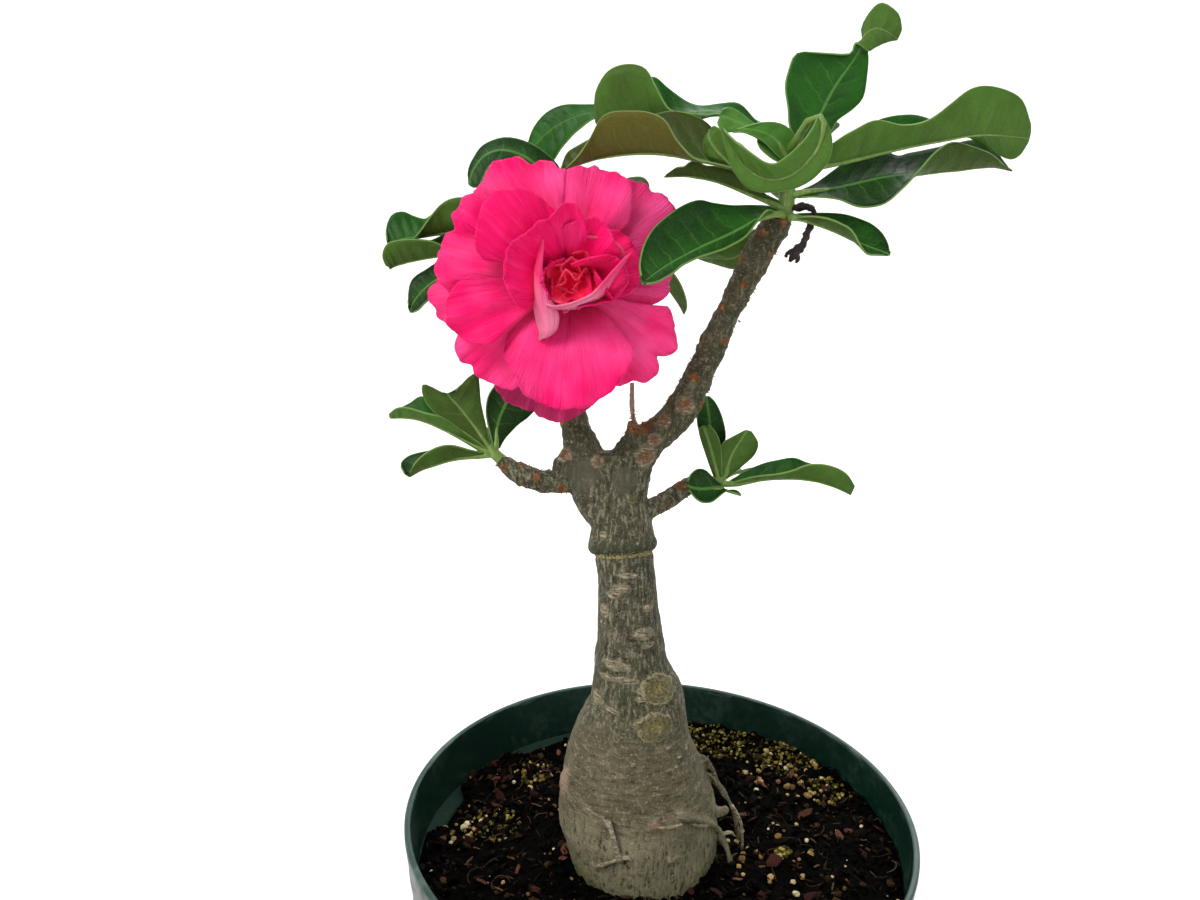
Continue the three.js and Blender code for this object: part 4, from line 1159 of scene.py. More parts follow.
def make_soil(finish):
    rings = [0, 8, 16, 24] + [24 + 1.6 * k for k in range(1, 44)]
    top = [(r / rings[-1], 1) for r in rings]
    bm = lathed(top + [(1, 0.8), (0.93, 0.4), (0.78, 0), (0, 0)], 288, 1e-5)
    tone = bm.verts.layers.float.new("tone")
    for v in bm.verts:
        share = math.hypot(v.co.x, v.co.y)
        angle = math.atan2(v.co.y, v.co.x)
        if v.co.z > 0.9:
            r = share * soil_reach(angle)
            x, y = r * math.cos(angle), r * math.sin(angle)
            clods = 1.1 * waver(x, y, 9, 2.6) + 0.8 * abs(waver(x, y, 3, 5))
            z = soil_level(x, y) + clods * smooth((1 - share) * 30) - 0.6 * smooth((share - 0.97) * 30)
            v.co = (x, y, z)
        else:
            z = {0.8: 121, 0.4: 60, 0.0: 2.6}[round(v.co.z, 1)]
            wall = mix(BASE_RADIUS - WALL, LEDGE_INNER, (z - 4) / 120.4) - 0.8
            r = wall * min(1, share / {121: 1, 60: 0.93, 2.6: 0.78}[z])
            v.co = (r * math.cos(angle), r * math.sin(angle), z)
        v[tone] = 0.3 + 0.3 * waver(v.co.x, v.co.y, 0, 6)
    bmesh.ops.recalc_face_normals(bm, faces=bm.faces)
    return settle(bm, "potting_mix", [finish], ["soil"])


def bit_shapes(detail, squash, rough, seed, count=6):
    """A few irregular lumps that the loose bits are copies of."""
    random.seed(seed)
    shapes = []
    for _ in range(count):
        bm = bmesh.new()
        bmesh.ops.create_icosphere(bm, subdivisions=detail, radius=1)
        for v in bm.verts:
            v.co *= 1 + random.uniform(-rough, rough)
            v.co.y *= squash[0]
            v.co.z *= squash[1]
        bm.verts.layers.float.new("tone")
        shapes.append(meshed(bm, "bit"))
    return shapes


def scatter(name, finish, shapes, places, soft=False):
    """One piece of many small bits; each place is (x, y, z, size, tone)."""
    bm = bmesh.new()
    for k, (x, y, z, size, tone) in enumerate(places):
        mesh = shapes[k % len(shapes)]
        tilt = Matrix.Rotation(random.uniform(0, FULL_TURN), 4, "Z")
        tilt = tilt @ Matrix.Rotation(random.uniform(-0.9, 0.9), 4, "X")
        tilt = tilt @ Matrix.Rotation(random.uniform(-0.5, 0.5), 4, "Y")
        put = Matrix.Translation((x, y, z)) @ tilt @ Matrix.Diagonal((size, size, size, 1))
        tones = mesh.attributes["tone"].data
        tones.foreach_set("value", [tone] * len(tones))
        mesh.transform(put)
        bm.from_mesh(mesh)
        mesh.transform(put.inverted())
    for mesh in shapes:
        bpy.data.meshes.remove(mesh)
    return settle(bm, name, [finish], soft=soft)


def on_soil(inner):
    """A random spot on the soil, outside the caudex and inside the wall."""
    while True:
        angle = random.uniform(0, FULL_TURN)
        edge = soil_reach(angle) - 1.2
        r = math.sqrt(random.uniform(0, edge ** 2))
        x, y = r * math.cos(angle), r * math.sin(angle)
        if math.hypot(x + 5, y - TRUNK_Y) > inner:
            return x, y


def clump(x, y, spread):
    """A random spot near a given one, held inside the pot."""
    angle = random.uniform(0, FULL_TURN)
    r = spread * math.sqrt(random.random())
    px, py = x + r * math.cos(angle), y + r * math.sin(angle)
    reach = math.hypot(px, py)
    edge = soil_reach(math.atan2(py, px)) - 1.4
    return (px, py) if reach < edge else (px * edge / reach, py * edge / reach)


def strewn(seed, count, inner, draw_size, draw_lift, fade):
    """Random places for loose bits; the larger 'fade' is, the more of them are dark."""
    random.seed(seed)
    places = []
    for _ in range(count):
        x, y = on_soil(inner)
        size = draw_size()
        places.append((x, y, soil_level(x, y) + draw_lift(size), size, random.random() ** fade))
    return places


def make_crumbs():
    crumb = grit_finish("dark soil crumbs",
                        [(0.0, "010101"), (0.5, "030201"), (0.8, "0c0906"), (1.0, "38291a")])
    places = strewn(21, 3400, 26, lambda: random.choice((0.5, 0.7, 0.9, 1.2, 1.7)),
                    lambda size: random.uniform(0.1, 0.9) * size, 1.8)
    scatter("soil_crumbs", crumb, bit_shapes(1, (0.8, 0.7), 0.28, 1), places)
    return crumb


def make_slivers():
    sliver = grit_finish("dark wood slivers",
                         [(0.0, "030201"), (0.45, "0b0705"), (0.78, "271b13"), (1.0, "5d4630")], 0.85)
    places = strewn(26, 1500, 27, lambda: random.uniform(0.9, 3.0),
                    lambda size: random.uniform(0.5, 1.3), 1.3)
    scatter("soil_slivers", sliver, bit_shapes(1, (0.2, 0.14), 0.25, 6, 8), places)


def make_chips():
    chip = grit_finish("bark chips",
                       [(0.0, "050403"), (0.5, "120a07"), (0.75, "3a1f19"), (1.0, "6b4733")], 0.8)
    places = strewn(22, 300, 28, lambda: random.uniform(1.2, 3.6), lambda size: 0.9, 1.6)
    for x, y, size in [(-71, 23, 5.0), (-66, -26, 3.6), (46, -12, 4.4), (59, 47, 3.8), (46, 38, 4.2),
                       (62, 20, 4.0), (44, -48, 4.2), (-44, -52, 3.6), (66, -34, 3.8)]:
        places.append((x, y, soil_level(x, y) + 1.4, size, random.uniform(0.7, 0.95)))
    scatter("bark_chips", chip, bit_shapes(1, (0.6, 0.16), 0.35, 2), places)


def make_grit():
    pale = grit_finish("perlite and grit",
                       [(0.0, "4b3623"), (0.35, "8b6f42"), (0.7, "b39a68"), (1.0, "d9cbab")], 0.85, 0.3, 0.9)
    places = strewn(23, 190, 28, lambda: random.uniform(0.3, 1.0), lambda size: 0.9, 1.3)
    for cx, cy in [(55, 52)] * 40 + [(-84, 3)] * 16 + [(-60, 40)] * 12 + [(40, -10)] * 22:
        x, y = clump(cx, cy, 24 if cx > 0 else 8)
        places.append((x, y, soil_level(x, y) + 1.0, random.uniform(0.6, 1.7), random.random()))
    scatter("perlite_and_grit", pale, bit_shapes(2, (0.85, 0.75), 0.16, 3), places)


def make_moss():
    moss = grit_finish("mossy grains",
                       [(0.0, "1e1b0b"), (0.4, "474218"), (0.75, "75692f"), (1.0, "a3935a")], 0.9)
    random.seed(24)
    places = []
    for cx, cy, spread, count in [(30, 74, 16, 200), (58, 62, 14, 190), (74, 36, 10, 70), (-70, 10, 12, 70),
                                  (-58, 46, 9, 40), (10, 84, 9, 60), (-30, -48, 8, 40), (49.8, -7, 3.2, 60)]:
        for _ in range(count):
            x, y = clump(cx, cy, spread)
            size = random.uniform(0.4, 1.15)
            places.append((x, y, soil_level(x, y) + random.uniform(0.5, 1.4), size, random.random()))
    scatter("mossy_grains", moss, bit_shapes(1, (0.9, 0.85), 0.2, 4), places)


def make_fibres():
    fibre = grit_finish("root fibres", [(0.0, "120c08"), (0.5, "33241a"), (1.0, "6b5638")], 0.85)
    random.seed(25)
    bm = bmesh.new()
    for _ in range(150):
        x, y = on_soil(27)
        turn = random.uniform(0, FULL_TURN)
        length = random.uniform(3, 10)
        bend = random.uniform(-0.9, 0.9)
        path = []
        for k in range(4):
            path.append((x, y, soil_level(x, y) + 0.7 + random.uniform(0.2, 1.3)))
            edge = soil_reach(math.atan2(y, x)) - 1.5
            x += math.cos(turn + bend * k) * length / 3
            y += math.sin(turn + bend * k) * length / 3
            reach = math.hypot(x, y)
            if reach > edge:
                x, y = x * edge / reach, y * edge / reach
        thick = random.uniform(0.12, 0.34)
        pour(bm, tube(path, [thick, thick, thick, thick * 0.5], 0, 3))
    tone = bm.verts.layers.float.new("tone")
    bmesh.ops.remove_doubles(bm, verts=bm.verts, dist=1e-5)
    for v in bm.verts:
        v[tone] = 0.5 + 0.5 * waver(v.co.x, v.co.y, 0, 11)
    settle(bm, "root_fibres", [fibre])


# ------------------------------------------------------------------ shoots
TOP_STEM = [(33.0, -6, 373.6), (33.4, -6, 376), (34, -6, 380), (34, -7, 388), (33.4, -8, 394),
            (33, -8.4, 397.5)]
BLOOM_STEM = [(-41.2, 2, 346.6), (-41.2, 2, 349), (-41.6, 2, 356), (-42, 2, 364), (-42.2, 2, 371),
              (-42.2, 2, 375.5)]
LEFT_STEM = [(-60.0, -7, 287.6), (-62, -7, 289.4), (-64, -7, 291), (-66, -7, 293), (-67, -7, 295)]
RIGHT_STEM = [(9.8, 4.0, 281.4), (12, 4.5, 281.7), (14, 4.8, 281.8), (17, 5.2, 282), (18.6, 5.4, 283.6)]

TOP_LEAVES = [
    # low left
    traced((-12, -52), (-4, 6), 0.25, [(781, 214, 781, 216, 780, 210), (768, 215, 768, 209.5, 767, 206),
           (756, 220, 757, 222, 752, 205), (742, 228, 745, 237, 733, 205.5), (724, 237, 728, 247, 714, 203),
           (706, 245, 712, 253, 699, 200), (690, 253, 697, 258, 683, 205), (675, 261, 683, 265, 667, 216),
           (662, 269, 672, 274, 653, 229), (652, 276, 661, 280, 644, 245), (646, 281, 652, 283, 640, 263),
           (643, 283.5, 647, 283.5, 641, 275)]),
    # behind branch
    traced((-2, 12), (-3, 4), 0.7, [(782, 218, 780, 216, 782, 220), (765, 232, 758, 228, 768, 238),
           (750, 248, 742, 236, 752, 258), (733, 257, 724, 248, 737, 268), (716, 257, 711, 252, 722, 266),
           (705, 257.5, 703, 255, 709, 262), (698, 258, 700, 256.5, 702, 260)]),
    # low right
    traced((-10, -13), (5, -5), 0.1, [(793, 217, 793, 214, 793, 218), (803, 219, 803, 213.5, 803, 216.5),
           (812, 221.5, 815, 213, 813, 216.5), (826, 226.5, 831, 213.5, 828, 218.5),
           (840, 232.5, 846, 214.5, 841, 223.5), (850, 239, 861, 219, 852, 231),
           (860, 244, 873, 225, 861, 247), (872, 248.5, 883, 234.5, 868, 254),
           (882, 252, 888.5, 245, 878, 255), (890, 255.5, 890, 251.5, 886, 255.5)]),
    # long right dark
    traced((-8, 14), (9, -8), 0, [(797, 194, 797, 191, 797, 198), (815, 191, 815, 184, 815, 197),
           (840, 187, 842, 164, 838, 199), (862, 182, 862, 152, 860, 207), (880, 178, 882, 150, 884, 203.5),
           (900, 175, 897, 156, 902, 189), (915, 174.5, 910, 153, 918, 172), (935, 172, 930, 149, 935, 152),
           (955, 170.5, 950, 144.5, 953, 142), (975, 168, 972, 140, 972, 146),
           (992, 167, 988, 143, 990, 153.5), (1004, 169, 1000, 157, 1003, 164),
           (1012, 171, 1010, 169, 1010, 169.5)]),
    # long right
    traced((-9, 4), (5, -5), 0.75, [(797, 172, 798, 169, 796, 170), (826, 165, 838, 146, 833, 143),
           (850, 160, 855, 134, 852, 131), (875, 154, 880, 119, 876, 120), (900, 148, 903, 115, 905, 125),
           (925, 143, 922, 116.5, 928, 120), (950, 139, 948, 127, 950, 104), (975, 135, 972, 138, 971, 88.5),
           (995, 135, 993, 151, 990, 86), (1012, 136.5, 1009, 159, 1012, 92.5),
           (1022, 137.5, 1019, 155, 1024, 104), (1029, 138.5, 1027, 145, 1030, 124)]),
    # top
    traced((-4, 14), (-3, 3), 0.75, [(803, 150, 801, 149, 806, 149), (808, 135, 790, 128, 829, 133),
           (816, 122, 788, 108, 838, 120), (824, 106, 785, 88, 852, 110), (832, 91, 788, 72, 863, 98),
           (841, 77, 797, 53, 867, 78), (850, 65, 822, 53, 868.5, 62), (858, 52, 849.5, 54, 868, 53),
           (861.5, 42, 855.5, 43, 867.5, 48), (865, 35, 868, 51, 861.5, 30), (875, 29, 874, 48.5, 870, 12),
           (884, 31, 882, 44.5, 882, 3), (891, 35, 890, 41.5, 898, 14), (897, 40, 897, 40.5, 901.5, 30)]),
    # upper left
    traced((-4, 6), (-6, 6), 0.7, [(792, 152, 792, 155, 790, 148), (765, 138, 763, 142, 758, 122),
           (742, 120, 742, 126, 740, 104), (720, 112, 722, 115, 720, 103.5),
           (702, 111.5, 705, 115.5, 700, 106), (685, 113, 686, 113, 686, 101), (670, 116, 669, 109, 668, 88),
           (655, 119, 656, 87, 655, 77), (640, 122, 645, 68, 642, 80), (624, 124, 626, 64, 625, 95),
           (610, 125, 608, 71, 610, 110), (601, 124.5, 596.5, 90, 601, 120),
           (596, 123, 595, 108, 596.5, 122)]),
    # cup
    traced((-17, -22), (-5, 1), 1.05, [(820, 117, 818, 115, 823, 117), (822, 128, 813, 126, 830, 130),
           (819, 142, 806, 137, 832, 147), (811, 156, 795, 149, 827, 163), (799, 169, 784, 158, 814, 178),
           (785, 177, 775, 163.5, 796, 188), (770, 179, 765, 162, 775, 192),
           (757, 175, 754, 154.5, 757, 191.5), (745, 166, 744, 147, 742, 183),
           (735, 152, 736, 141, 731, 164), (727, 138, 729, 135, 724.5, 142),
           (721, 126.5, 723, 127.5, 721, 130)]),
    # small left
    traced((-15, -17), (-2, 2), 0.7, [(748, 180, 748, 172, 742, 180), (738, 171, 740, 162, 730, 168.5),
           (727, 161, 733, 150, 714, 163), (717, 151, 728, 141, 706, 155), (710, 140, 722, 131, 703.5, 145),
           (709, 132, 718, 127.5, 705, 137), (712, 127, 714, 126.5, 709, 130)]),
    # small bright
    traced((-10, -12), (-2, 2), 1.35, [(765, 132, 765, 135, 760, 127), (748, 126, 748, 129, 746, 117.5),
           (735, 121, 733, 131.5, 737, 110.5), (725, 117, 722, 131, 729, 107),
           (720, 116, 717, 123, 723, 109)]),
    # young folded
    traced((-10, -13), (-1, 2), 1.3, [(786, 158, 785, 162, 797, 152), (781, 145, 776, 155, 798, 141),
           (770, 135, 763, 142, 790, 129), (757, 130, 751, 135, 778, 122.5),
           (745, 130, 742, 132, 760, 122.5), (733, 132, 733, 132.5, 738, 129)]),
    # bud leaf
    traced((-9, -10), (-1, 1), 1.4, [(788, 160, 783, 164, 793, 152), (780, 154, 774, 160, 784, 143),
           (772, 148, 766, 154, 774, 138), (764, 143, 760, 148, 765, 137), (757, 140, 757, 142, 758, 138.5)]),
    # left olive, its tone below zero painting the olive of light through a backlit leaf
    traced((-12, -15), (-6, 6), -0.8, [(782, 178, 782, 182, 780, 174), (760, 172, 758, 176, 752, 155),
           (735, 167, 733, 168, 725, 140), (715, 163, 712, 163, 706, 122), (697, 159.5, 693, 158, 690, 114),
           (680, 156, 677, 140, 672, 111), (662, 153.5, 665, 120, 657, 114), (645, 153, 648, 112, 645, 118),
           (628, 154, 630, 110.5, 630, 120), (612, 156, 612, 112, 612, 125), (596, 159, 600, 119, 596, 135),
           (583, 163, 590, 138, 579, 145), (571, 168, 576, 158, 566, 154), (560, 173, 563, 171, 561, 168)]),
    # narrow left
    traced((-8, -8), (-3, 3), -0.2, [(780, 208, 778, 200, 780, 203), (768, 204, 762, 191, 765, 196),
           (750, 194, 746, 178, 748, 184), (735, 187, 731, 170, 733, 178), (718, 181, 715, 166, 717, 172),
           (706, 178.5, 705, 165.5, 706, 171), (696, 177, 697, 161, 697, 169),
           (688, 176, 689.5, 162, 689, 168), (681, 176, 684, 166, 683, 170),
           (673, 176.5, 676, 167, 675, 171), (664, 177, 667, 174.5, 667, 176)]),
    # far left
    traced((2, 16), (-4, 4), 0.7, [(790, 142, 790, 145, 789, 139), (765, 127, 766, 130, 763, 124),
           (740, 116, 741, 119, 739, 113), (715, 113, 715, 116, 714, 110), (690, 116, 690, 122, 688, 110),
           (660, 121, 661, 131, 658, 111), (632, 119, 634, 131, 629, 107), (610, 115, 613, 124, 606, 104.5),
           (590, 114, 597, 117, 583, 104.5), (568, 120, 578, 130, 563, 105), (551, 130, 564, 145, 546, 113),
           (538, 142, 553, 161, 534, 127), (529, 155, 542, 172, 528, 143), (522, 170, 530, 177, 524, 158)]),
    # behind and at the back
    leaf([36.5, -2, 395], 35, 37, 1, 0, 23, 12, [40, 40]),
    leaf([35, -3, 391], 80, 25, 25, 5, 50, 24, [28, 28]),
    leaf([32, -3, 385], 135, 32, 20, -5, 56, 22, [25, 30]),
]
BLOOM_LEAVES = [
    # arching left
    traced((2, -4), (-4, 4), 0.1, [(560, 205, 553, 208, 568, 200), (545, 175, 530, 188, 560, 168),
           (525, 157, 513, 170, 536, 146), (503, 150, 500, 162, 508, 137.5),
           (486, 155, 490, 166, 484, 144.5), (476, 166, 484, 176, 473, 159), (471, 177, 479, 187, 468, 173),
           (470, 186, 474, 187.5, 468.5, 183)]),
    # left upper
    traced((2, -2), (-5, 5), 0.6, [(556, 224, 556, 221, 556, 227), (530, 226, 529, 218, 530, 229),
           (503, 227, 501, 212, 503, 225), (475, 229, 473, 199, 475, 220),
           (452, 231.5, 455, 197.5, 452, 215), (436, 234, 441, 204, 434, 214),
           (424, 236, 430, 217, 425, 219), (413, 238, 418, 234, 414, 216),
           (403, 239.5, 408, 243, 403, 211.5), (396, 242, 400, 246, 392, 215),
           (391, 245, 395, 248, 386, 228), (390, 247.5, 391, 248.5, 387, 240)]),
    # left middle
    traced((2, -6), (-5, 5), 0.6, [(555, 232, 555, 229, 555, 235), (522, 240, 522, 235, 522, 243),
           (490, 246, 490, 245, 490, 232), (465, 250, 463, 252, 465, 231), (446, 254, 446, 247, 446, 233.5),
           (430, 257, 430, 240.5, 432, 240), (415, 260, 414, 239, 415, 245), (403, 263, 398, 240, 403, 250),
           (395, 266, 387, 244, 395, 258), (391.5, 268, 382.5, 255, 391, 265),
           (390, 269, 386, 265, 390, 268)]),
    # left lower
    traced((2, -8), (-4, 4), 0, [(553, 238, 555, 241, 552, 235), (512, 246, 514, 252, 511, 241),
           (478, 258, 482, 270, 471, 249), (450, 272, 458, 284, 444, 259), (432, 283, 440, 293, 425, 270),
           (420, 294, 426, 302, 412, 280), (413, 304, 419, 309.5, 408, 296),
           (410, 312.5, 413, 313, 408.5, 305)]),
    # to the right of the bloom and at the back
    leaf([-39, 2, 368.5], 356, 0, 62, 4, 50, 18, [35, 30]),
    leaf([-39.5, 2, 372], 44, 56, 71, 12, 45, 15, [30, 30]),
    leaf([-41, 4.5, 369], 80, 18, 50, 12, 56, 24, [28, 28]),
    leaf([-43, 4.5, 367], 128, 10, 48, -10, 53, 24, [28, 28]),
]
LEFT_LEAVES = [
    # low
    traced((-8, -16), (-4, 4), 0.2, [(488, 455, 488, 453, 488, 456), (472, 456, 470, 449.5, 472, 453),
           (455, 458.5, 453, 445, 455, 452), (440, 463, 440, 446, 438, 450),
           (428, 467, 428, 451.5, 424, 451.5), (419, 471, 419, 458, 408, 456),
           (413, 474.5, 413, 465, 400.5, 464), (410, 477, 410.5, 472, 404, 473)]),
    # middle
    traced((-8, -8), (-3, 4), 0.8, [(490, 453, 489, 450, 489, 448), (475, 444.5, 474, 439, 472, 433),
           (458, 436, 458, 426, 452, 415), (442, 428, 442, 417, 435, 402), (427, 422, 428, 413.5, 421, 396),
           (413, 418, 415, 409.5, 410, 403), (402, 417.5, 403, 407, 400, 408),
           (395, 418, 395, 408.5, 394, 411), (390, 418, 389.5, 413.5, 390, 415)]),
    # notched
    traced((-7, -12), (2, -3), 0.2, [(490, 449, 491, 446, 488, 450), (480, 434, 487, 430, 470, 438),
           (470, 420.5, 483.5, 415, 453, 424), (461, 409, 480.5, 400, 437, 414),
           (454, 401, 479.5, 386, 427, 404), (450, 397, 477, 373, 422, 392),
           (448, 394.5, 466, 380, 424, 384), (447.3, 393.7, 456, 390.5, 438, 391)]),
    # upright
    traced((-6, 2), (-2, 3), -0.2, [(496, 447, 493, 445, 500, 448), (496, 432, 488.5, 428, 506, 438),
           (500, 416, 486, 410, 517, 426), (507, 401, 489, 394, 530, 416), (515, 388, 500, 380, 538, 404),
           (524, 378, 515, 372, 536, 388)]),
    leaf([-66, -5, 292.5], 120, 12, 30, 5, 30, 17, [25, 25]),
]
RIGHT_LEAVES = [
    # long
    traced((6, 0), (4, -4), 0.6, [(727, 484, 727, 482, 727, 484.5), (745, 481, 746, 471, 746, 478),
           (762, 479, 764, 463, 763, 475.5), (778, 478, 779, 459.5, 779, 473.5),
           (793, 478, 794, 457.5, 792, 470.5), (808, 479.5, 806, 462, 806, 465),
           (822, 482.5, 820, 466, 821, 464), (835, 487, 833, 470, 836, 467.5),
           (844, 491, 843, 477, 848, 474.5), (851, 495, 851, 490, 854.5, 486)]),
    # tall
    traced((8, 6), (-1, 1), 0.1, [(718, 480, 715, 480, 720, 480), (716, 462, 711, 465, 721, 462),
           (713, 448, 704, 443, 724, 446), (711, 432, 698, 428, 726, 434), (709, 415, 697, 413, 722, 416),
           (707, 402, 701, 402, 716, 403), (706.5, 396, 704, 397.5, 710, 397)]),
    # folded small
    traced((5, 0), (-1, 1), 0.45, [(718, 478, 722, 478, 714, 478), (714, 460, 722, 460, 707, 458),
           (710, 445, 720, 442, 701, 439), (706, 433, 715, 431, 699, 430), (704, 426, 709, 425, 702, 426)]),
    # bright
    traced((5, 4), (2, -2), 0.5, [(724, 478, 728, 478, 720, 476), (728, 463, 742, 466, 720, 458),
           (734, 450, 754, 455, 722, 444), (741, 439, 758, 443, 732, 437),
           (747, 430, 752, 431.5, 744, 430.5)]),
    # round
    traced((2, -5), (-3, 2), 0, [(723, 487, 727, 491, 719, 482), (715, 488, 720, 496, 712, 476),
           (706, 489, 712, 502, 705, 469.5), (698, 489, 702, 502.5, 697, 469),
           (692, 488, 694, 497, 690.5, 474.5), (688, 486, 689, 490, 688, 481)]),
    leaf([19, 4, 279], 350, -12, 0, 0, 7, 4, [30, 30]),
    leaf([18, 8, 281.5], 62, 10, 40, 0, 32, 16, [25, 25]),
]


def make_shoot(name, node, stem, radii, leaves, finishes, stalk):
    """Leaves of one shoot, and the green stem with its stalks and raised midribs."""
    points = [Vector(a).lerp(Vector(b), k / 4) for a, b in zip(stem, stem[1:]) for k in range(5)]
    runs = []
    for blade in leaves:
        foot = Vector(blade["base"])
        root = min(points, key=lambda p: (p + Vector((0, 0, 1.5)) - foot).length)
        thin = min(1, blade["length"] / 30)
        path = [root, foot]
        radius = [1.5 * thin, 1.25 * thin]
        steps = max(3, int(blade["length"] / 7))
        for k in range(1, steps + 1):
            t = 0.06 + 0.86 * k / steps
            at, _, _, face = midrib(blade, t)[:4]
            size = mix(0.85, 0.2, (k / steps) ** 0.7) * thin
            path.append(at - face * size * 0.62)
            radius.append(size)
        runs.append((path, radius))
    bm = tubes(runs, 2, 3)
    pour(bm, meshed(tubes([(stem, radii)], 4, 4), "stem"))
    roughen(bm, 0.12, 2.0)
    settle(bm, name + "_stem_and_midribs", [stalk])
    blades_piece(leaves, name + "_leaves", finishes, [node])


# ------------------------------------------------------------------ bloom
def petal(turn, foot, rise, droop, length, spread, **more):
    """A petal that fans out round an axis that looks at the viewer: turn 0 is right and 90 is up.
    Half its angle is 'spread'; 'short' rounds its corners and 'bites' are notches (place, depth, width)."""
    way = math.radians(turn)
    base = (foot * math.cos(way), foot * math.sin(way), more.pop("start", 0))
    made = {"base": base, "turn": turn, "rise": rise, "droop": droop, "sway": 0, "dip": 0, "length": length,
            "spread": spread, "short": 0.3, "bites": [], "fold": [12, 12], "tip": [0, 0], "curl": 0,
            "wave": 1.6, "waves": 2.0, "phase": turn / 97, "frill": 0.9, "seed": turn * 0.37, "tone": 0.5,
            "flare": 0.62}
    made.update(more)
    return made


def petal_point(blade, u, v):
    """Point of a petal, u out from its foot and v from -1 to 1 across the fan, and its place on it."""
    seed, length = blade["seed"], blade["length"]
    spread = math.radians(blade["spread"])
    a = abs(v)
    arc = v * spread * length
    reach = 1 - blade["short"] * a ** 2.8
    for at, depth, width in blade["bites"]:
        reach -= depth * math.exp(-((v - at) / width) ** 2)
    reach += 0.028 * waver(arc, seed * 7, 0, 6) + 0.02 * waver(arc, seed * 3, 9, 2.4)
    angle = spread * v * mix(blade["flare"], 1.0, u)
    out = u * reach
    t = out * math.cos(angle)
    at, _, side, face = midrib(blade, t)
    flat, lift = folded(blade, smooth((u - 0.35) / 0.6), v, 6)
    across = out * math.sin(angle) * length
    place = at + side * across * flat + face * abs(across) * lift
    ripple = math.sin(FULL_TURN * (blade["waves"] * v / 2 + blade["phase"])) * u ** 2.2
    brink = max(u ** 8, a ** 10 * smooth(u * 1.6))
    crinkle = waver(arc, u * 8, seed * 5, 3.4) * brink + 0.5 * waver(arc, u * 5, seed * 9, 1.7) * u ** 12
    crumple = waver(across + seed * 13, out * length, seed, 9) * smooth(u * 1.5) * 0.6
    place += face * (blade["wave"] * ripple + blade["frill"] * 2.2 * crinkle + crumple)
    margin = min((1 - u) * reach * length, (1 - a) * u * spread * length + 0.6)
    return place, out * length, across, margin


# petals given a tone below zero carry painted shade, the one at -103 behind the others most of all
OUTER_PETALS = [
    petal(124, 3, 52, 68, 45, 30, tone=0.35, short=0.14, wave=2.4,
          bites=[(-0.5, 0.1, 0.12), (0.3, 0.03, 0.1), (-0.95, 0.07, 0.3)]),
    petal(43, 3, 47, 66, 42, 28, bites=[(0.2, 0.03, 0.1)], tone=-0.2, start=-2),
    petal(74, 3, 56, 66, 39.5, 27, bites=[(0.3, 0.03, 0.1)], tone=0.25, wave=1.8),
    petal(9, 3, 48, 60, 34, 27, tone=-0.2, start=-1, waves=3),
    petal(-41, 3, 50, 66, 42, 28, tone=0.0, short=0.2, waves=3,
          bites=[(0.1, 0.05, 0.07), (-0.5, 0.03, 0.08)]),
    petal(-103, 3, 42, 62, 46.3, 33, tone=-0.55, start=-2, bites=[(-0.15, 0.03, 0.1)]),
    petal(-137, 3, 50, 66, 44.5, 27, bites=[(-0.1, 0.05, 0.08)], tone=0.3),
    petal(-171, 3, 46, 66, 47, 15, tone=0.2, start=-1, bites=[(0.2, 0.04, 0.15)]),
    petal(160, 3, 52, 66, 45, 29, tone=0.3, short=0.16, wave=2.2,
          bites=[(-0.15, 0.09, 0.09), (0.4, 0.02, 0.1)]),
]
INNER_PETALS = [
    # second ring
    petal(-91, 7, 68, 80, 41.3, 50, start=3, tone=0.4, short=0.37, waves=3, wave=1.2, flare=1.3,
          bites=[(0.1, 0.03, 0.08), (-0.6, 0.08, 0.3), (0.55, 0.06, 0.3)]),
    petal(-162, 4, 64, 74, 43.5, 19, start=2, tone=0.7, short=0.22),
    petal(133, 4, 66, 70, 39, 30, start=2, tone=0.95, short=0.2, wave=1.0, bites=[(-0.85, 0.2, 0.4)]),
    petal(25, 4, 70, 66, 26, 38, start=2, tone=0.8, short=0.3),
    # inner ring round the heart
    petal(145, 4, 80, 50, 31, 46, start=3, tone=0.95, fold=[20, 20], tip=[15, 15]),
    petal(95, 4, 74, 40, 33, 20, start=3, tone=0.95, short=0.6, fold=[20, 20]),
    petal(60, 4, 80, 48, 29, 34, start=3, tone=0.9, fold=[20, 20], tip=[10, 10]),
    petal(22, 4, 80, 46, 27, 32, start=3, tone=0.9, fold=[20, 40], tip=[10, 60]),
    petal(-20, 5, 72, 10, 22, 36, start=4, tone=0.9, fold=[25, 25], tip=[40, 40]),
    petal(-62, 5, 76, -4, 19.5, 48, start=4, tone=0.9, fold=[25, 25], tip=[45, 45]),
    petal(-120, 5, 74, -4, 18.5, 44, start=4, tone=0.95, fold=[25, 25], tip=[45, 45]),
    petal(-178, 5, 68, -16, 22, 44, start=4, tone=0.95, fold=[25, 25], tip=[45, 45]),
]
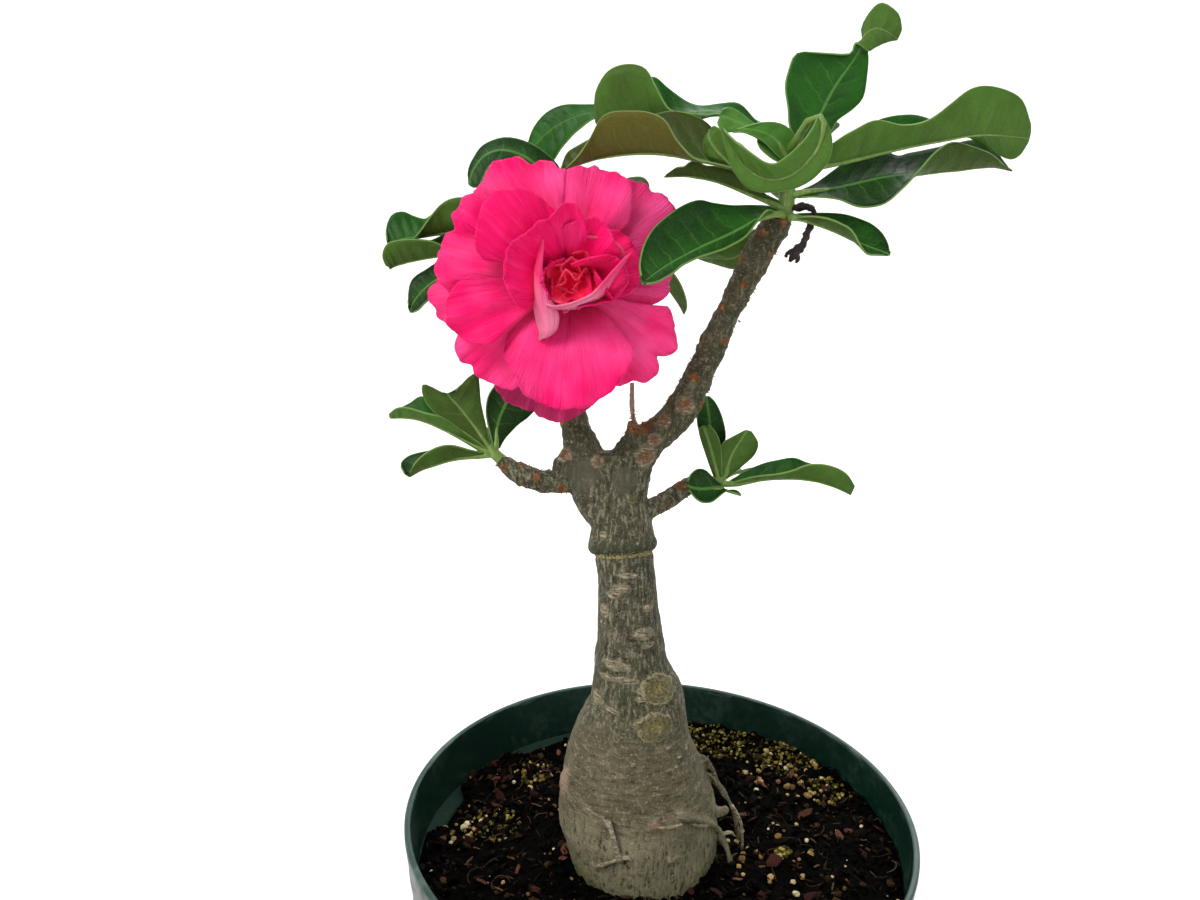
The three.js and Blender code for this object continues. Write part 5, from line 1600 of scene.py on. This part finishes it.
CUP_RIMS = [
    # left rim, from its crinkled lower end up
    traced((-39, -43), (0, 8), 0.5, [(542, 339, 548, 337, 538.8, 340), (547, 331, 556.5, 330, 538.6, 335),
           (547, 320, 559.5, 318, 537.5, 327), (543.5, 309, 556.5, 308, 535.2, 314),
           (540, 296, 548, 294, 534, 299), (538.8, 284, 544, 282, 533.8, 286),
           (538.8, 272, 542.6, 271, 534.6, 274), (539.8, 262, 542.8, 262, 537, 262),
           (541.5, 250, 543.4, 250, 539.6, 250), (543.6, 239, 544.4, 239.4, 543, 238.6)]),
    # lower rim, from the left
    traced((-44, -47), (-1, 8), 0.5, [(546, 305, 546, 304, 546, 307), (557, 307.4, 556, 305.4, 557, 309.4),
           (572, 306, 571, 303, 573, 308.6), (585, 302, 583, 298.5, 588, 305),
           (594, 297, 592, 293.5, 598, 300.5), (600.5, 290.5, 598, 287.5, 605, 293.5),
           (608, 281.5, 605.5, 279.5, 611.5, 283), (616, 271, 614, 269.5, 618.8, 271.6),
           (624, 261, 623, 260, 625.6, 261.4), (631, 253, 630.8, 252.6, 631.4, 253.4)]),
]
# the hollow of the cup behind its small curled petals
CUP_LINING = traced((-38, -26, -20, -18.5, -20, -28, -41), (-15, -15), 1.0,
                    [(577, 234, 568, 235, 588, 235), (576, 243, 546, 241, 613, 241),
                     (574, 258, 541, 256, 625, 254), (572, 272, 540, 272, 618, 268),
                     (570, 286, 542, 286, 609, 281),
                     (569, 298, 548, 297, 598, 294), (569, 305, 560, 304, 582, 304)])
BLOOM_AT = Vector((-37.3, -16.5, 354.4))
BLOOM_TURN = Matrix.Rotation(math.radians(7), 3, "Z") @ Matrix.Rotation(math.radians(87), 3, "X")


def face_viewer(verts):
    for v in verts:
        v.co = BLOOM_TURN @ v.co + BLOOM_AT


def petal_piece(name, petals, finishes, replaces=()):
    """Petals of one ring; those not traced from the picture turn with the bloom."""
    bm = with_blade_layers(bmesh.new())
    for blade in petals:
        fan = "spread" in blade
        width = 2 * math.radians(blade["spread"]) * blade["length"] * 0.8 if fan else blade["width"]
        rows = int(clamp(blade["length"] / 0.95, 10, 50))
        columns = 2 * int(clamp(width / 1.6, 3, 24))
        start = len(bm.verts)
        add_blade(bm, blade, rows, columns, blade.get("tone", 0.5))
        if fan:
            face_viewer(bm.verts[start:])
    thicken(settle(bm, name, finishes, list(replaces)), PETAL_THICK)


def make_bloom():
    face = petal_finish("petal face, hot pink", "fb559c", "fa006c", "c8005a", 0.5, 0.35)
    deep = petal_finish("inner petal face, deep pink", "fa4590", "f20066", "c4005a", 0.5, 0.35)
    back = petal_finish("petal back, paler pink", "f7a0c4", "e8508f", "cc2468", 0.58, 0.4)
    rim = petal_finish("turned rims, palest pink", "f89ab9", "ef2f74", "d04478", 0.58, -0.1, ripen=1.5)
    # the heart's glow of 0.1 is painted light on the curls, cup lining, funnel and stamens in the bloom's
    # shaded hollow
    heart = petal_finish("heart petals, red pink", "fb3f7c", "e8003e", "ff7ba6", 0.45, 0.8, 0.1)
    petal_piece("outer_petals", OUTER_PETALS, [face, back], ["bloom_corolla"])
    petal_piece("inner_petals", INNER_PETALS, [deep, back])
    petal_piece("cup_rims", CUP_RIMS, [rim, rim])
    random.seed(31)
    curls = [CUP_LINING]
    for k in range(11):
        outer = k < 6
        turn = (60 if outer else 72) * k + random.uniform(-10, 10)
        length = random.uniform(14.5, 16.5) if outer else random.uniform(12.5, 14.5)
        curls.append(petal(turn, 2.4 if outer else 1.0,
                           random.uniform(50, 60) if outer else random.uniform(64, 74),
                           random.uniform(-34, -18),
                           length * (0.93 + 0.1 * math.sin(math.radians(turn))),
                           random.uniform(28, 36), start=random.uniform(5, 6.5),
                           fold=[random.uniform(0, 25), random.uniform(0, 25)],
                           tip=[random.uniform(-30, 35), random.uniform(-30, 35)], short=0.25,
                           frill=0.9, sway=random.uniform(-30, 30), tone=random.uniform(0.2, 1.0)))
    petal_piece("heart_curls", curls, [heart, heart])
    # funnel that the petals grow from, with the stamen threads standing in it
    bm = lathed([(0, -10.6), (2.2, -10.4), (2.8, -6), (3.6, -2.5), (4.6, 0.5), (4.4, 2.4), (2.8, 2.2),
                 (0, -1)], 40, 1e-4)
    bmesh.ops.recalc_face_normals(bm, faces=bm.faces)
    for k in range(12):
        turn = math.radians(GOLDEN_ANGLE * k)
        lean = 1.2 + 0.16 * k
        path = [(math.cos(turn) * lean * s, math.sin(turn) * lean * s, z)
                for s, z in ((0.4, 0), (0.7, 4), (0.9, 7.5 + 0.3 * (k % 4)), (0.7, 10 + 0.3 * (k % 3)))]
        pour(bm, tube(path, [0.5, 0.42, 0.5, 0.25], 1, 4))
    with_blade_layers(bm)
    face_viewer(bm.verts)
    settle(bm, "bloom_funnel_and_stamens", [heart])


def make_calyx(finishes):
    bm = with_blade_layers(bmesh.new())
    foot = -10.4
    for k in range(5):
        turn = 72 * k + 20
        way = math.radians(turn)
        base = (1.6 * math.cos(way), 1.6 * math.sin(way), foot - 1)
        sepal = leaf(base, turn, 8, -50, 0, 7, 3.6, [25, 25], wide=0.4, point=0.9, pucker=0, ruffle=0.1)
        add_blade(bm, sepal, 14, 8, 0.4 + 0.1 * k)
    face_viewer(bm.verts)
    thicken(settle(bm, "calyx_sepals", finishes, ["bloom_calyx"]), SEPAL_THICK, 0)
    cup = [BLOOM_TURN @ Vector((0, 0, z)) + BLOOM_AT for z in (foot + 0.6, foot - 1.2, foot - 3)]
    hook = [cup[2] + Vector((0, -0.8, 0)), (-40, -3.6, 354.4), (-41.3, -2.6, 356.4), (-41.8, 0.4, 357.2)]
    bm = tubes([(cup, [2.5, 2.1, 1.5]), (hook, [1.4, 1.3, 1.3, 1.3])], 4, 5)
    roughen(bm, 0.1, 1.4)
    settle(bm, "bloom_stalk", [finishes[0]])


# ------------------------------------------------------------------ dry remains
def make_dry_bits():
    dark = dry_finish("dried flower stalk", "080505", "2c1a15")
    tan = dry_finish("dry twig", "7d6553", "b39c86")
    bm = tubes([
        ([(35.6, -6.6, 380.6), (39.4, -8, 381.2), (42.4, -8.4, 380.4), (43.1, -8.6, 377.6),
          (42.2, -8.4, 374.4), (41, -8.2, 371), (39.6, -8.4, 368), (37.6, -8.6, 365.6), (36.4, -8.6, 363.2)],
         [1.0, 1.3, 1.1, 0.8, 1.3, 1.1, 1.4, 1.8, 0.5]),
        ([(38, -8.4, 366.6), (35.8, -8.4, 366.2), (34.8, -8.6, 364.8)], [1.1, 0.9, 0.3]),
        ([(38.4, -8.2, 366), (38.9, -9, 364.2), (38.4, -9.2, 362.6)], [1.0, 0.7, 0.3]),
    ], 4, 6)
    roughen(bm, 0.7, 1.5)
    roughen(bm, 0.3, 0.7, 5)
    settle(bm, "dried_flower_stalk", [dark], ["dried_stalk"])
    runs = [([(-13.6, -6, 304.6), (-14.8, -5, 307), (-15.4, -4.6, 311), (-15.6, -4, 316), (-15.7, -4, 319.4)],
             [0.7, 0.8, 0.95, 0.85, 0.8])]
    random.seed(41)
    for k in range(14):
        turn = math.radians(GOLDEN_ANGLE * k)
        foot = (-15 + 0.5 * math.cos(turn), -4.8 + 0.5 * math.sin(turn), 305.2 + 0.32 * k)
        end = (foot[0] + 1.3 * math.cos(turn), foot[1] + 1.3 * math.sin(turn),
               foot[2] + random.uniform(-0.6, 0.9))
        runs.append(([foot, end], [0.22, 0.1]))
    bm = tubes(runs, 2, 5)
    roughen(bm, 0.16, 1.1)
    settle(bm, "dry_twig_on_stub", [tan], ["dry_twig"])


# ------------------------------------------------------------------ the whole plant
place_camera()
make_floor()
light_studio()
make_pot(pot_finish())
bark = bark_finish()
make_trunk(bark)
make_rootlets(bark)
make_bristles(dry_finish("torn bark hairs", "4a3a2a", "8d7759"))
soil = make_crumbs()
make_slivers()
make_chips()
make_grit()
make_moss()
make_fibres()
make_soil(soil)

upper = leaf_finish("leaf upper side, deep glossy green",
                    "092b03", "1d560e", "5a9040", "80a455", 0.42, 1, 0.24, 0.16)
under = leaf_finish("leaf underside, olive green",
                    "354818", "466a26", "7b9458", "8fa46a", 0.55, -1, 0.14, 0.1, "56511f")
green_stalk = stalk_finish("young green stalk", "4c6a22", "74933f")
for name, node, stem, radii, leaves in [
        ("top_shoot", "shoot_top", TOP_STEM, [2.6, 2.9, 2.8, 2.7, 2.2, 1.2], TOP_LEAVES),
        ("shoot_behind_bloom", "shoot_behind_bloom", BLOOM_STEM, [2.5, 2.7, 2.7, 2.5, 2.2, 1], BLOOM_LEAVES),
        ("left_shoot", "shoot_left", LEFT_STEM, [2, 2.2, 2.2, 2, 1.2], LEFT_LEAVES),
        ("right_shoot", "shoot_right", RIGHT_STEM, [2.1, 2.3, 2.3, 2.1, 1.2], RIGHT_LEAVES)]:
    make_shoot(name, node, stem, radii, leaves, [upper, under], green_stalk)
make_bloom()
make_calyx([leaf_finish("calyx green", "5f7f2e", "86a04a", "a9b86c", "b0b98a", 0.45, 1, 0.2),
            leaf_finish("calyx back green", "6f8f3c", "8aa552", "a9b86c", "b0b98a", 0.5, -1, 0.2)])
make_dry_bits()
